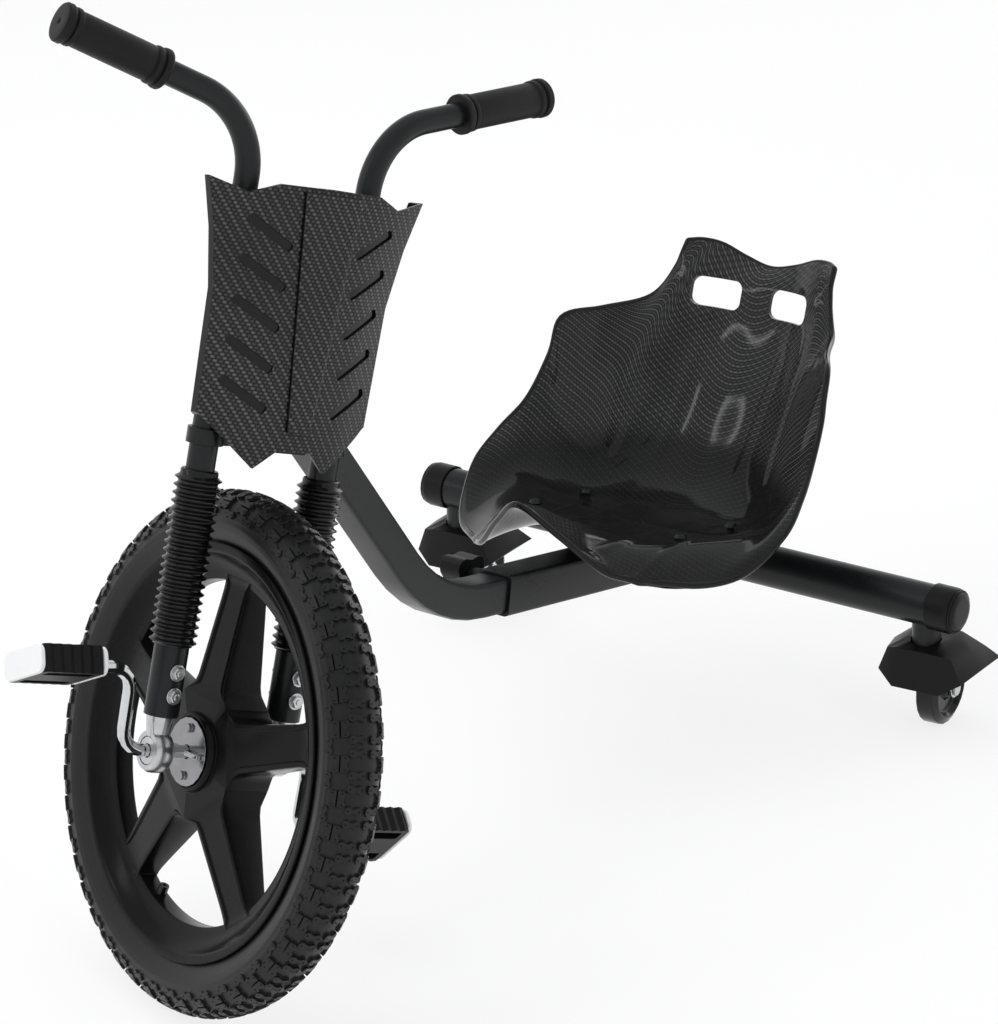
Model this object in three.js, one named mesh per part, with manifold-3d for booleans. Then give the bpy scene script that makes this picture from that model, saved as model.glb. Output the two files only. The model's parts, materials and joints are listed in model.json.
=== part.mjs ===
// Drift trike: pedal driven front wheel in a sprung fork, bucket seat, two rear casters.
// Millimetres, +Z up, the trike faces -Y and the rider's left is +X.
// The origin is on the floor in the middle of the footprint.
import * as THREE from 'three';
import { mergeVertices } from 'three/addons/utils/BufferGeometryUtils.js';
import Module from 'manifold-3d';

const wasm = await Module();
wasm.setup();

// Clearances and cutting
const gap = 0.3;
const overrun = 4;
const mergeTolerance = 1e-4;
const degree = Math.PI / 180;

// Layout of the whole trike
const wheelbase = 659.2;
const axisAhead = 321;
const axleHeight = 120.8;
const rakeAngle = 18.83 * degree;
const steerAngle = 70.46 * degree;
const forkOffset = 17;
const legSpacing = 108.2;
const overallWidth = 559.5;
const casterInset = 33.95;
const trackHalf = overallWidth / 2 - casterInset;
const midplaneOffset = 8.2;
const frameOffset = 1.3;

// Front wheel
const tyreRadius = 200;
const tyreWidth = 46;
const tyreWall = 4.5;
const lugDepth = 4;
const tyreSteps = 58;
const beadRadius = 152.4;
const beadWidth = 31.2;
const flangeRadius = 158;
const flangeWidth = 40;
const flangeLip = 3.4;
const rimInnerRadius = 130;
const rimWebWidth = 16;
const rimWebHeight = 6;
const spokeCount = 5;
const spokePhase = 88 * degree;
const spokeHubWidth = 40;
const spokeRimWidth = 30;
const spokeHubDepth = 34;
const spokeRimDepth = 17;
const spokeWall = 4;
const spokeWeb = 5;
const hubRadius = 31;
const hubWidth = 48;
const hubPlateRadius = 26;
const hubPlateThickness = 2.6;
const innerTubeRadius = 14;
const innerTubeInnerShare = 0.8;
const valveRadius = 4;
const valveBore = 1.5;
const valveLength = 40;
const valvePhase = -110 * degree;

// Crank and pedals
const crankRadius = 5;
const crankReach = 71;
const crankPhase = 110 * degree;
const crankElbowOut = 29.9;
const crankStep = 16;
const crankRun = 36.6;
const crankElbow = legSpacing / 2 + crankElbowOut;
const crankShoulder = crankElbow + crankStep;
const crankBend = 24;
const dogLength = 42;
const dogThickness = 3.6;
const pedalInner = crankShoulder + crankRun;
const pedalLength = 55.5;
const pedalWidth = 53.2;
const pedalThickness = 21.4;
const pedalPlate = 3.2;
const pedalBarrel = 8.5;
const pedalRibs = 6;
const pedalRibDepth = 1.6;
const pedalSpindleInset = 6;
const pedalPitchRight = 21.8 * degree;
const pedalPitchLeft = 42.4 * degree;

// Fork
const upperTubeRadius = 11;
const upperTubeWall = 0.9;
const upperTubeBottom = 135;
const upperTubeTop = 400;
const lowerLegRadius = 13.3;
const lowerLegBottom = 27.4;
const lowerLegTop = 180;
const eyeRadius = 16.5;
const eyeWidth = 15;
const bearingRadius = 11;
const eyeStubTop = 76;
const eyeNeckRadius = 8.5;
const legBoltRadius = 2.5;
const legBoltHeadRadius = 5.6;
const legBoltHeadHeight = 4;
const legWasherRadius = 6.8;
const legWasherThickness = 1.1;
const legBoltHeights = [62, 44.4];
const bootBottom = 80.9;
const bootTop = 212.8;
const bootRibs = 21;
const bootRootRadius = 15.6;
const bootTipRadius = 17.8;
const bootCollar = 4;
const bootSides = 8;
const springWireRadius = 1.2;
const springCoilRadius = 8.4;
const springTurns = 7;

// Crowns, steerer and headset
const crownThickness = 12;
const lowerCrownBottom = 232;
const upperCrownBottom = 329;
const crownBossRadius = 14;
const crownHubRadius = 18;
const crownArmWidth = 18;
const crownTabWidth = 26;
const crownTabHeight = 8;
const steererRadius = 11;
const steererWall = 2.5;
const steererTop = 352;
const steererNutRadius = 17.5;
const steererNutHeight = 8;
const headTubeRadius = 17.5;
const headTubeWall = 3.2;
const headTubeBottom = 250;
const headTubeTop = 322;
const cupFlange = 4.6;
const cupDepth = 9;

// Handlebars and grips
const barRadius = 9.5;
const barWall = 1.5;
const barBottom = 345;
const barCornerHeight = 476.5;
const barBend = 60;
const gripOuter = new THREE.Vector3(215.9, 22, 520.1);
const gripLength = 88.8;
const gripRadius = 13.6;
const gripFlangeRadius = 15.6;
const gripFlange = 4;
const gripEnd = 5;
const gripSides = 12;
const gripGrooves = 6;
const gripGrooveDepth = 1.1;

// Fairing
const fairingTop = 436;
const fairingBottom = 214;
const fairingWall = 3;
const fairingNose = 38;
const fairingSideDepth = 3;
const fairingTopOverhang = 42.9;
const fairingWaistOverhang = 22.4;
const fairingFootOverhang = 18.9;
const fairingTopHalf = legSpacing / 2 + fairingTopOverhang;
const fairingWaistHalf = legSpacing / 2 + fairingWaistOverhang;
const fairingFootHalf = legSpacing / 2 + fairingFootOverhang;
const fairingWaistHeight = 350;
const fairingFlarePower = 1.3;
const fairingSideTuckShare = 0.97;
const fairingTopDip = 15;
const fairingFootRise = 48;
const louvreCount = 5;
const louvreLength = 40;
const louvreHeight = 7;
const louvrePitch = 30;
const louvreFirst = 394;
const louvreCentre = 46;
const louvreTilt = 30 * degree;
const louvreDepth = 2;
const spineTopHalf = 26;
const spineFootHalf = 10;
const spineTop = 427;
const spineFoot = 250;
const spineProud = 5;
const spineCurve = 4.4;
const spineFaceShare = 0.7;
const spineSeatShare = 0.85;

// Main frame
const mainTubeSide = 30;
const mainTubeWall = 2;
const mainTubeCorner = 4;
const mainTubeFootOnAxis = 269.36;
const downTubeAngle = 54.4 * degree;
const mainTubeMeetsAxis = mainTubeFootOnAxis + mainTubeSide / 2 / Math.cos(downTubeAngle - rakeAngle);
const mainTubeBend = 165;
const mainTubeInsert = 150;

// Rear frame
const sleeveWall = 2.2;
const sleeveSide = mainTubeSide + 2 * (gap + sleeveWall);
const sleeveAngle = 11.57 * degree;
const sleeveLength = 293.5;
const axleTubeRadius = 18.5;
const axleTubeWall = 2.5;
const capRadius = 20.3;
const capLength = 27;
const capEnd = 3;
const capRound = 9;
const capRoundSteps = 3;
const neckRadius = 12.5;
const neckBottom = 82;

// Clamp knob
const knobBehindMouth = 9;
const knobAbove = 8;
const knobRadius = 20;
const knobLobes = 3;
const knobWaistShare = 0.62;
const knobThickness = 20;
const knobStandOff = 12;
const clampScrewRadius = 3;
const clampBossRadius = 7;

// Seat
const seatHalfWidth = 160;
const seatLength = 393;
const seatHeight = 189;
const seatAheadOfAxle = 249.7;
const seatAboveAxle = 46.2;
const seatWall = 5;
const seatRimExtra = 2.5;
const seatStepsAcross = 16;
const seatStepsAlong = 20;
const slotLength = 45;
const slotHeight = 26;
const slotRadius = 8;
const slotPlaceShares = [0.2344, 0.9211, 0.7857];
const slotLean = 74 * degree;
const boltAcross = 75;
const boltAheadOfAxle = [120, 42];
const strapWidth = 32;
const strapThickness = 3.5;
const strapHalf = 92;
const strapFoot = 24;
const strapStep = 46;
const seatBoltRadius = 3;
const seatBoltHeadRadius = 6;
const seatBoltHeadHeight = 3;

// Casters
const casterAngle = 4 * degree;
const casterTrail = 30;
const casterWheelRadius = 33;
const casterWheelWidth = 22;
const casterTreadDepth = 7;
const casterHubRadius = 8;
const casterAxleRadius = 4;
const casterAxleHead = 2;
const casterStemRadius = 5;
const casterPlate = 3;
const casterPlateTop = 78;
const casterForkHalf = 11.6;
const casterForkArm = 2.5;
const casterCoverTop = 89;
const coverHalfWidth = 48;
const coverLength = 74;
const coverFront = 22;
const casterCoverWall = 2.5;

// Finishes: colour, roughness, metalness
const finishes = {
  satinSteel: [0x17181a, 0.45, 0.6],
  glossBlack: [0x0e0f10, 0.18, 0],
  carbon: [0x1b1c1e, 0.3, 0.1],
  plasticBlack: [0x151617, 0.5, 0],
  rubber: [0x141414, 0.85, 0],
  softRubber: [0x101112, 0.6, 0],
  chrome: [0xd6d8da, 0.12, 1],
  zinc: [0xb9bdbd, 0.3, 0.9],
  white: [0xe9e9ea, 0.4, 0],
  treadGrey: [0x3a3b3d, 0.6, 0],
};

// Geometry helpers

function signedVolume(geometry) {
  const position = geometry.getAttribute('position');
  const index = geometry.index.array;
  const a = new THREE.Vector3();
  const b = new THREE.Vector3();
  const c = new THREE.Vector3();
  let sum = 0;
  for (let i = 0; i < index.length; i += 3) {
    a.fromBufferAttribute(position, index[i]);
    b.fromBufferAttribute(position, index[i + 1]);
    c.fromBufferAttribute(position, index[i + 2]);
    sum += a.dot(b.cross(c));
  }
  return sum;
}

// One closed body: shared vertices merged, slivers dropped, faces pointing out
function closed(geometry) {
  const bare = new THREE.BufferGeometry();
  bare.setAttribute('position', geometry.getAttribute('position').clone());
  if (geometry.index) bare.setIndex(geometry.index.clone());
  const merged = mergeVertices(bare, mergeTolerance);
  const index = merged.index.array;
  const kept = [];
  for (let i = 0; i < index.length; i += 3) {
    const [a, b, c] = [index[i], index[i + 1], index[i + 2]];
    if (a !== b && b !== c && c !== a) kept.push(a, b, c);
  }
  merged.setIndex(kept);
  if (signedVolume(merged) < 0) {
    for (let i = 0; i < kept.length; i += 3) [kept[i], kept[i + 1]] = [kept[i + 1], kept[i]];
    merged.setIndex(kept);
  }
  merged.computeVertexNormals();
  return merged;
}

function toSolid(geometry) {
  const shape = closed(geometry);
  return new wasm.Manifold(new wasm.Mesh({
    numProp: 3,
    vertProperties: new Float32Array(shape.getAttribute('position').array),
    triVerts: new Uint32Array(shape.index.array),
  }));
}

function toGeometry(solid) {
  const mesh = solid.getMesh();
  const geometry = new THREE.BufferGeometry();
  geometry.setAttribute('position', new THREE.BufferAttribute(new Float32Array(mesh.vertProperties), 3));
  geometry.setIndex(Array.from(mesh.triVerts));
  geometry.computeVertexNormals();
  return geometry;
}

const joined = (first, ...others) =>
  toGeometry(others.reduce((sum, next) => sum.add(toSolid(next)), toSolid(first)));

const cut = (body, ...tools) =>
  toGeometry(tools.reduce((left, tool) => left.subtract(toSolid(tool)), toSolid(body)));

const common = (first, second) => toGeometry(toSolid(first).intersect(toSolid(second)));

function placed(geometry, [x, y, z], [rx, ry, rz] = [0, 0, 0]) {
  const turn = new THREE.Quaternion().setFromEuler(new THREE.Euler(rx, ry, rz));
  const matrix = new THREE.Matrix4().compose(new THREE.Vector3(x, y, z), turn, new THREE.Vector3(1, 1, 1));
  return geometry.clone().applyMatrix4(matrix);
}

const box = (x, y, z) => new THREE.BoxGeometry(x, y, z);

// Turns a form made round +Y so that it runs along the axis given
function aligned(geometry, axis) {
  if (axis === 'x') return geometry.rotateZ(-Math.PI / 2);
  if (axis === 'z') return geometry.rotateX(Math.PI / 2);
  return geometry;
}

// A profile of [radius, place along the axis], closed on the axis or on itself
function revolved(profile, axis, sides) {
  const points = profile.map(([radius, along]) => new THREE.Vector2(radius, along));
  const open = profile[0][0] !== 0 || profile.at(-1)[0] !== 0;
  if (open) points.push(points[0].clone());
  return aligned(new THREE.LatheGeometry(points, sides), axis);
}

const rod = (radius, length, axis, sides = 20) =>
  revolved([[0, -length / 2], [radius, -length / 2], [radius, length / 2], [0, length / 2]], axis, sides);

const pipe = (outer, inner, low, high, axis, sides = 20) =>
  revolved([[inner, low], [outer, low], [outer, high], [inner, high]], axis, sides);

function roundedRectangle(width, height, radius) {
  const [x, y] = [width / 2, height / 2];
  const shape = new THREE.Shape();
  shape.absarc(x - radius, y - radius, radius, 0, Math.PI / 2);
  shape.absarc(radius - x, y - radius, radius, Math.PI / 2, Math.PI);
  shape.absarc(radius - x, radius - y, radius, Math.PI, 1.5 * Math.PI);
  shape.absarc(x - radius, radius - y, radius, 1.5 * Math.PI, 2 * Math.PI);
  return shape;
}

// Bore radius that keeps clear of a round piece all the way round, facets counted
const clear = (radius, sides) => (radius + gap) / Math.cos(Math.PI / sides);

// Outer radius of a piece that fits inside a faceted bore
const within = (radius, sides) => radius * Math.cos(Math.PI / sides) - gap;

const outline = (points) => new THREE.Shape(points.map(([x, y]) => new THREE.Vector2(x, y)));

// A flat shape given thickness, centred on its plane
const slab = (shape, thickness, curveSegments = 5) =>
  new THREE.ExtrudeGeometry(shape, { depth: thickness, bevelEnabled: false, curveSegments })
    .translate(0, 0, -thickness / 2);

// Straight runs joined by round bends; one station at each end of a run and a few in each bend
class BentPath extends THREE.Curve {
  constructor(corners, bendRadius, stepsPerBend = 6) {
    super();
    this.stations = [];
    const direction = (from, to) => to.clone().sub(from).normalize();
    corners.forEach((corner, i) => {
      if (i === 0 || i === corners.length - 1) {
        const [from, to] = i === 0 ? [corner, corners[1]] : [corners[i - 1], corner];
        this.stations.push({ point: corner.clone(), tangent: direction(from, to) });
        return;
      }
      const before = direction(corners[i - 1], corner);
      const after = direction(corner, corners[i + 1]);
      const turn = before.angleTo(after);
      const start = corner.clone().addScaledVector(before, -bendRadius * Math.tan(turn / 2));
      const axis = before.clone().cross(after).normalize();
      const centre = start.clone().addScaledVector(axis.clone().cross(before), bendRadius);
      for (let step = 0; step <= stepsPerBend; step += 1) {
        const swept = (turn * step) / stepsPerBend;
        const point = start.clone().sub(centre).applyAxisAngle(axis, swept).add(centre);
        this.stations.push({ point, tangent: before.clone().applyAxisAngle(axis, swept) });
      }
    });
  }

  get steps() {
    return this.stations.length - 1;
  }

  getPointAt(u) {
    return this.stations[Math.round(u * this.steps)].point.clone();
  }

  getTangentAt(u) {
    return this.stations[Math.round(u * this.steps)].tangent.clone();
  }
}

const swept = (shape, path, curveSegments = 4) =>
  new THREE.ExtrudeGeometry(shape,
    { steps: path.steps, extrudePath: path, bevelEnabled: false, curveSegments });

function circle(radius, boreRadius = 0) {
  const shape = new THREE.Shape().absarc(0, 0, radius, 0, 2 * Math.PI);
  if (boreRadius > 0) shape.holes.push(new THREE.Path().absarc(0, 0, boreRadius, 0, 2 * Math.PI, true));
  return shape;
}

// A skin over rings of equal point counts, with both end rings filled
function lofted(rings) {
  const count = rings[0].length;
  const position = rings.flat().flatMap((point) => point.toArray());
  const index = [];
  for (let row = 0; row < rings.length - 1; row += 1) {
    for (let i = 0; i < count; i += 1) {
      const [a, b] = [row * count + i, row * count + ((i + 1) % count)];
      index.push(a, b, b + count, a, b + count, a + count);
    }
  }
  const fill = (ring, first, flip) => {
    const normal = new THREE.Vector3();
    ring.forEach((point, i) => normal.add(point.clone().cross(ring[(i + 1) % count])));
    const flat = new THREE.Quaternion().setFromUnitVectors(normal.normalize(), new THREE.Vector3(0, 0, 1));
    const shape = ring.map((point) => {
      const turned = point.clone().applyQuaternion(flat);
      return new THREE.Vector2(turned.x, turned.y);
    });
    THREE.ShapeUtils.triangulateShape(shape, []).forEach(([a, b, c]) =>
      index.push(...(flip ? [first + a, first + c, first + b] : [first + a, first + b, first + c])));
  };
  fill(rings[0], 0, true);
  fill(rings.at(-1), (rings.length - 1) * count, false);
  const geometry = new THREE.BufferGeometry();
  geometry.setAttribute('position', new THREE.Float32BufferAttribute(position, 3));
  geometry.setIndex(index);
  return geometry;
}

const trike = new THREE.Group();

function add(group, name, geometry, finish) {
  const [color, roughness, metalness] = finishes[finish];
  const material = new THREE.MeshStandardMaterial({ color, roughness, metalness });
  const mesh = new THREE.Mesh(closed(geometry), material);
  mesh.name = name;
  group.add(mesh);
  return mesh;
}

const mirrored = (name, side) => `${name}_${side < 0 ? 'right' : 'left'}`;
const bothSides = [-1, 1];

// Front wheel, turned about the local X axis

// Places round the tyre section, from one bead over the tread to the other
function tyreSection() {
  const middle = (beadRadius + tyreRadius - lugDepth) / 2;
  const outerHeight = tyreRadius - lugDepth - middle;
  const innerHeight = outerHeight - tyreWall;
  const outerArc = [-102, -68, -34, 0, 34, 68, 102].map((angle, i) => ({
    along: (tyreWidth / 2) * Math.sin(angle * degree),
    radius: middle + outerHeight * Math.cos(angle * degree),
    lug: i === 0 || i === 6 ? 0 : 1,
    row: Math.abs(i - 3) % 2,
  }));
  const innerArc = [70, 0, -70].map((angle) => ({
    along: (tyreWidth / 2 - tyreWall) * Math.sin(angle * degree),
    radius: middle + innerHeight * Math.cos(angle * degree),
    lug: 0,
    row: 0,
  }));
  const bead = (side) => [
    { along: side * (beadWidth / 2), radius: flangeRadius + gap, lug: 0, row: 0 },
    { along: side * (beadWidth / 2), radius: beadRadius, lug: 0, row: 0 },
    { along: side * (beadWidth / 2 - tyreWall), radius: beadRadius, lug: 0, row: 0 },
  ];
  return [...outerArc, ...bead(1), ...innerArc, ...bead(-1).reverse()];
}

function tyreGeometry() {
  const section = tyreSection();
  const position = [];
  const index = [];
  for (let step = 0; step < tyreSteps; step += 1) {
    const angle = (2 * Math.PI * step) / tyreSteps;
    section.forEach(({ along, radius, lug, row }) => {
      const height = radius + (lug && (step + row) % 2 === 0 ? lugDepth : 0);
      position.push(along, height * Math.cos(angle), height * Math.sin(angle));
    });
    section.forEach((point, i) => {
      const count = section.length;
      const next = ((step + 1) % tyreSteps) * count;
      const [a, b] = [step * count + i, step * count + ((i + 1) % count)];
      const [c, d] = [next + i, next + ((i + 1) % count)];
      index.push(a, b, d, a, d, c);
    });
  }
  const geometry = new THREE.BufferGeometry();
  geometry.setAttribute('position', new THREE.Float32BufferAttribute(position, 3));
  geometry.setIndex(index);
  return geometry;
}

// A tapered block that runs out along +Z from radius low to radius high
function taperedBlock(low, high, lowHalfDepth, highHalfDepth, lowHalfWidth, highHalfWidth, base = null) {
  const ring = (radius, depth, width) => {
    const inner = base === null ? -depth : base;
    return [
      new THREE.Vector3(inner, -width, radius),
      new THREE.Vector3(depth, -width, radius),
      new THREE.Vector3(depth, width, radius),
      new THREE.Vector3(inner, width, radius),
    ];
  };
  return lofted([ring(low, lowHalfDepth, lowHalfWidth), ring(high, highHalfDepth, highHalfWidth)]);
}

function wheelGeometry() {
  const [flange, web] = [flangeWidth / 2, rimWebWidth / 2];
  const seat = beadWidth / 2 + gap;
  const ring = revolved([
    [flangeRadius, flange], [flangeRadius, seat], [beadRadius - gap, seat],
    [beadRadius - gap, -seat], [flangeRadius, -seat], [flangeRadius, -flange],
    [flangeRadius - 2 * flangeLip, -flange], [rimInnerRadius + rimWebHeight, -web],
    [rimInnerRadius, -web], [rimInnerRadius, web], [rimInnerRadius + rimWebHeight, web],
    [flangeRadius - 2 * flangeLip, flange],
  ], 'x', 36);
  const hub = rod(hubRadius, hubWidth, 'x', 24);
  const reach = rimInnerRadius + rimWebHeight;
  const spoke = taperedBlock(hubRadius / 2, reach, spokeHubDepth / 2, spokeRimDepth / 2,
    spokeHubWidth / 2, spokeRimWidth / 2);
  const pocket = taperedBlock(hubRadius + spokeWall, rimInnerRadius - spokeWall,
    spokeHubDepth, spokeHubDepth, spokeHubWidth / 2 - spokeWall, spokeRimWidth / 2 - spokeWall, spokeWeb / 2);
  const farPocket = pocket.clone().rotateZ(Math.PI);
  let body = toSolid(ring).add(toSolid(hub));
  for (let i = 0; i < spokeCount; i += 1) {
    const angle = Math.PI / 2 - spokePhase - (2 * Math.PI * i) / spokeCount;
    body = body.add(toSolid(cut(spoke, pocket, farPocket).rotateX(angle)));
  }
  const valveHole = rod(clear(valveRadius, 12), valveLength, 'z', 12);
  const valve = valvePlace();
  return cut(toGeometry(body), rod(clear(crankRadius, 16), hubWidth + overrun, 'x', 16),
    placed(valveHole, [0, valve.y, valve.z], [valve.turn, 0, 0]));
}

// Middle of the valve's hole through the rim, and the turn of its stem about X
function valvePlace() {
  const radius = (rimInnerRadius + beadRadius) / 2;
  return {
    y: -radius * Math.cos(valvePhase),
    z: radius * Math.sin(valvePhase),
    turn: Math.PI / 2 - valvePhase,
    radius,
  };
}

function innerTubeGeometry() {
  const middle = clear(beadRadius, 24) + innerTubeRadius;
  const ring = (radius, sides) => Array.from({ length: sides }, (_, i) => {
    const angle = (2 * Math.PI * i) / sides;
    return [middle + radius * Math.cos(angle), radius * Math.sin(angle)];
  });
  const outer = revolved(ring(innerTubeRadius, 6), 'x', 24);
  const inner = revolved(ring(innerTubeRadius * innerTubeInnerShare, 4), 'x', 24);
  const valve = valvePlace();
  const top = middle - innerTubeRadius / 2;
  const stemMiddle = top - valveLength / 2;
  const stem = (radius, extra) => placed(rod(radius, valveLength + extra, 'z', 8),
    [0, (valve.y * stemMiddle) / valve.radius, (valve.z * stemMiddle) / valve.radius], [valve.turn, 0, 0]);
  const tube = joined(outer, stem(valveRadius, 0));
  return cut(tube, inner, stem(valveBore, 2 * overrun));
}

function hubPlateGeometry(side) {
  const face = hubWidth / 2 + gap;
  const disc = placed(rod(hubPlateRadius, hubPlateThickness, 'x', 20),
    [side * (face + hubPlateThickness / 2), 0, 0]);
  const screw = (height) => placed(rod(dogThickness, 2 * hubPlateThickness, 'x', 8),
    [side * (face + hubPlateThickness), 0, height]);
  const screwHeight = hubPlateRadius * 0.7;
  return cut(joined(disc, screw(screwHeight), screw(-screwHeight)),
    rod(clear(crankRadius, 12), hubWidth + 8 * overrun, 'x', 12));
}

function crankPoints() {
  const y = crankReach * Math.cos(crankPhase);
  const z = crankReach * Math.sin(crankPhase);
  const end = pedalInner + pedalLength - pedalSpindleInset;
  return [
    [-end, y, z], [-crankShoulder, y, z], [-crankElbow, 0, 0],
    [crankElbow, 0, 0], [crankShoulder, -y, -z], [end, -y, -z],
  ].map((point) => new THREE.Vector3(...point));
}

function crankGeometry() {
  const path = new BentPath(crankPoints(), crankBend, 5);
  const dogPlace = hubWidth / 2 + hubPlateThickness + 2 * gap + dogThickness / 2;
  const dog = (side) => placed(box(dogThickness, dogLength, dogThickness), [side * dogPlace, 0, 0]);
  return joined(swept(circle(crankRadius), path, 4), dog(-1), dog(1));
}

// Pedal forms lie along X from the inner end, with the width along Y

function pedalTreadGeometry() {
  const length = pedalLength - 2 * (pedalPlate + gap);
  const half = pedalWidth / 2 - gap;
  const edge = (side) => Array.from({ length: 2 * pedalRibs + 1 }, (_, i) => {
    const groove = i % 2 === 0 ? pedalRibDepth : 0;
    return [side * (-length / 2 + (length * i) / (2 * pedalRibs)), side * (half - groove)];
  });
  const shape = outline([...edge(1), ...edge(-1)]);
  const window = (side) => {
    const depth = half / 2 - pedalPlate;
    const middle = side * (pedalBarrel + gap + pedalPlate + depth / 2);
    const hole = roundedRectangle(length - 3 * pedalPlate, depth, pedalPlate / 2).getPoints(2);
    return new THREE.Path(hole.map((point) => new THREE.Vector2(point.x, point.y + middle)));
  };
  shape.holes.push(window(1), window(-1));
  const body = slab(shape, pedalThickness - 2 * gap);
  return placed(cut(body, rod(clear(pedalBarrel, 16), length + overrun, 'x', 16)), [pedalLength / 2, 0, 0]);
}

function pedalFrameGeometry() {
  const plate = slab(roundedRectangle(pedalThickness, pedalWidth, pedalThickness / 3), pedalPlate, 3)
    .rotateY(Math.PI / 2);
  const barrel = placed(rod(pedalBarrel, pedalLength - pedalPlate, 'x', 16), [pedalLength / 2, 0, 0]);
  const frame = joined(placed(plate, [pedalPlate / 2, 0, 0]), barrel,
    placed(plate, [pedalLength - pedalPlate / 2, 0, 0]));
  const bore = placed(rod(clear(crankRadius, 12), pedalLength, 'x', 12),
    [pedalLength / 2 - pedalPlate - gap, 0, 0]);
  return cut(frame, bore);
}

function buildPedals(group) {
  const [, right] = crankPoints();
  const pitches = { [-1]: pedalPitchRight, 1: pedalPitchLeft };
  bothSides.forEach((side) => {
    const pedal = new THREE.Group();
    pedal.position.set(side * pedalInner, -side * right.y, -side * right.z);
    pedal.rotation.set(-pitches[side], 0, side < 0 ? Math.PI : 0);
    add(pedal, mirrored('pedal_tread', side), pedalTreadGeometry(), 'plasticBlack');
    add(pedal, mirrored('pedal_frame', side), pedalFrameGeometry(), 'white');
    group.add(pedal);
  });
}

function buildFrontWheel(group) {
  add(group, 'tyre', tyreGeometry(), 'rubber');
  add(group, 'inner_tube', innerTubeGeometry(), 'softRubber');
  add(group, 'mag_wheel', wheelGeometry(), 'plasticBlack');
  bothSides.forEach((side) => add(group, mirrored('hub_plate', side), hubPlateGeometry(side), 'chrome'));
  add(group, 'crankshaft', crankGeometry(), 'chrome');
  buildPedals(group);
}

// Fork: local Z runs up the steering axis, the hub is the origin

function lowerLegGeometry() {
  const leg = pipe(lowerLegRadius, clear(upperTubeRadius, 16), lowerLegBottom, lowerLegTop, 'z', 16);
  const holes = legBoltHeights.map((height) =>
    placed(rod(clear(legBoltRadius, 6), 2 * lowerLegRadius + 2 * overrun, 'y', 6), [0, 0, height]));
  return cut(leg, ...holes);
}

function axleEyeGeometry() {
  const ringHeight = eyeRadius - bearingRadius;
  const half = eyeWidth / 2;
  const ring = revolved([
    [bearingRadius, -half], [eyeRadius - ringHeight / 3, -half], [eyeRadius, -half / 2],
    [eyeRadius, half / 2], [eyeRadius - ringHeight / 3, half], [bearingRadius, half],
  ], 'x', 20);
  const shoulder = lowerLegBottom - gap;
  const stub = revolved([
    [0, bearingRadius], [eyeNeckRadius, bearingRadius], [upperTubeRadius, shoulder],
    [upperTubeRadius, eyeStubTop], [0, eyeStubTop],
  ], 'z', 16);
  const holes = legBoltHeights.map((height) =>
    placed(rod(clear(legBoltRadius, 6), 2 * lowerLegRadius, 'y', 6), [0, 0, height]));
  return cut(joined(ring, stub), rod(bearingRadius, eyeWidth + overrun, 'x', 20), ...holes);
}

const eyeBearingGeometry = () =>
  pipe(within(bearingRadius, 20), clear(crankRadius, 14), gap - eyeWidth / 2, eyeWidth / 2 - gap, 'x', 14);

function legBoltGeometry() {
  const face = lowerLegRadius + gap;
  const washer = face + legWasherThickness;
  const top = washer + legBoltHeadHeight;
  const shank = revolved([
    [0, -washer - gap], [legBoltRadius, -washer - gap], [legBoltRadius, -washer], [legWasherRadius, -washer],
    [legWasherRadius, -face], [legBoltRadius, -face], [legBoltRadius, face], [legWasherRadius, face],
    [legWasherRadius, washer], [legBoltRadius, washer], [legBoltRadius, washer + gap], [0, washer + gap],
  ], 'y', 10);
  const head = (side) => placed(rod(legBoltHeadRadius, legBoltHeadHeight, 'y', 6),
    [0, (side * (washer + top)) / 2, 0]);
  return joined(shank, head(-1), head(1));
}

// A ribbed hose with a straight bore, drawn in to the upper tube at its top collar
function bootGeometry() {
  const ribbedTop = bootTop - bootCollar;
  const pitch = (ribbedTop - bootBottom) / bootRibs;
  const bore = clear(lowerLegRadius, bootSides);
  const collar = clear(upperTubeRadius, bootSides);
  const profile = [[bore, bootBottom], [bootRootRadius, bootBottom]];
  for (let rib = 0; rib < bootRibs; rib += 1) {
    const foot = bootBottom + pitch * rib;
    profile.push([bootTipRadius, foot + pitch / 2], [bootRootRadius, foot + pitch]);
  }
  profile.push([bootRootRadius, bootTop], [collar, bootTop], [collar, ribbedTop]);
  for (let rib = bootRibs; rib > 0; rib -= 5) profile.push([bore, bootBottom + pitch * rib - gap]);
  return revolved(profile, 'z', bootSides);
}

class Helix extends THREE.Curve {
  constructor(radius, bottom, top, turns) {
    super();
    Object.assign(this, { radius, bottom, top, turns });
  }

  getPoint(t) {
    const angle = 2 * Math.PI * this.turns * t;
    const height = this.bottom + (this.top - this.bottom) * t;
    return new THREE.Vector3(this.radius * Math.cos(angle), this.radius * Math.sin(angle), height);
  }
}

function springGeometry() {
  const bottom = eyeStubTop + gap + springWireRadius;
  const top = upperTubeBottom - gap - springWireRadius;
  const path = new Helix(springCoilRadius, bottom, top, springTurns);
  path.steps = springTurns * 8;
  const points = path.getSpacedPoints(path.steps);
  const apart = points.flatMap((point, i) => points.slice(i + 5).map((other) => point.distanceTo(other)));
  const least = Math.min(...apart) - 2 * springWireRadius;
  console.log(`fork spring: least gap to itself ${least.toFixed(2)} mm`);
  const wire = new THREE.Shape(Array.from({ length: 5 }, (_, i) => new THREE.Vector2(
    springWireRadius * Math.cos((2 * Math.PI * i) / 5), springWireRadius * Math.sin((2 * Math.PI * i) / 5))));
  return swept(wire, path);
}

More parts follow.
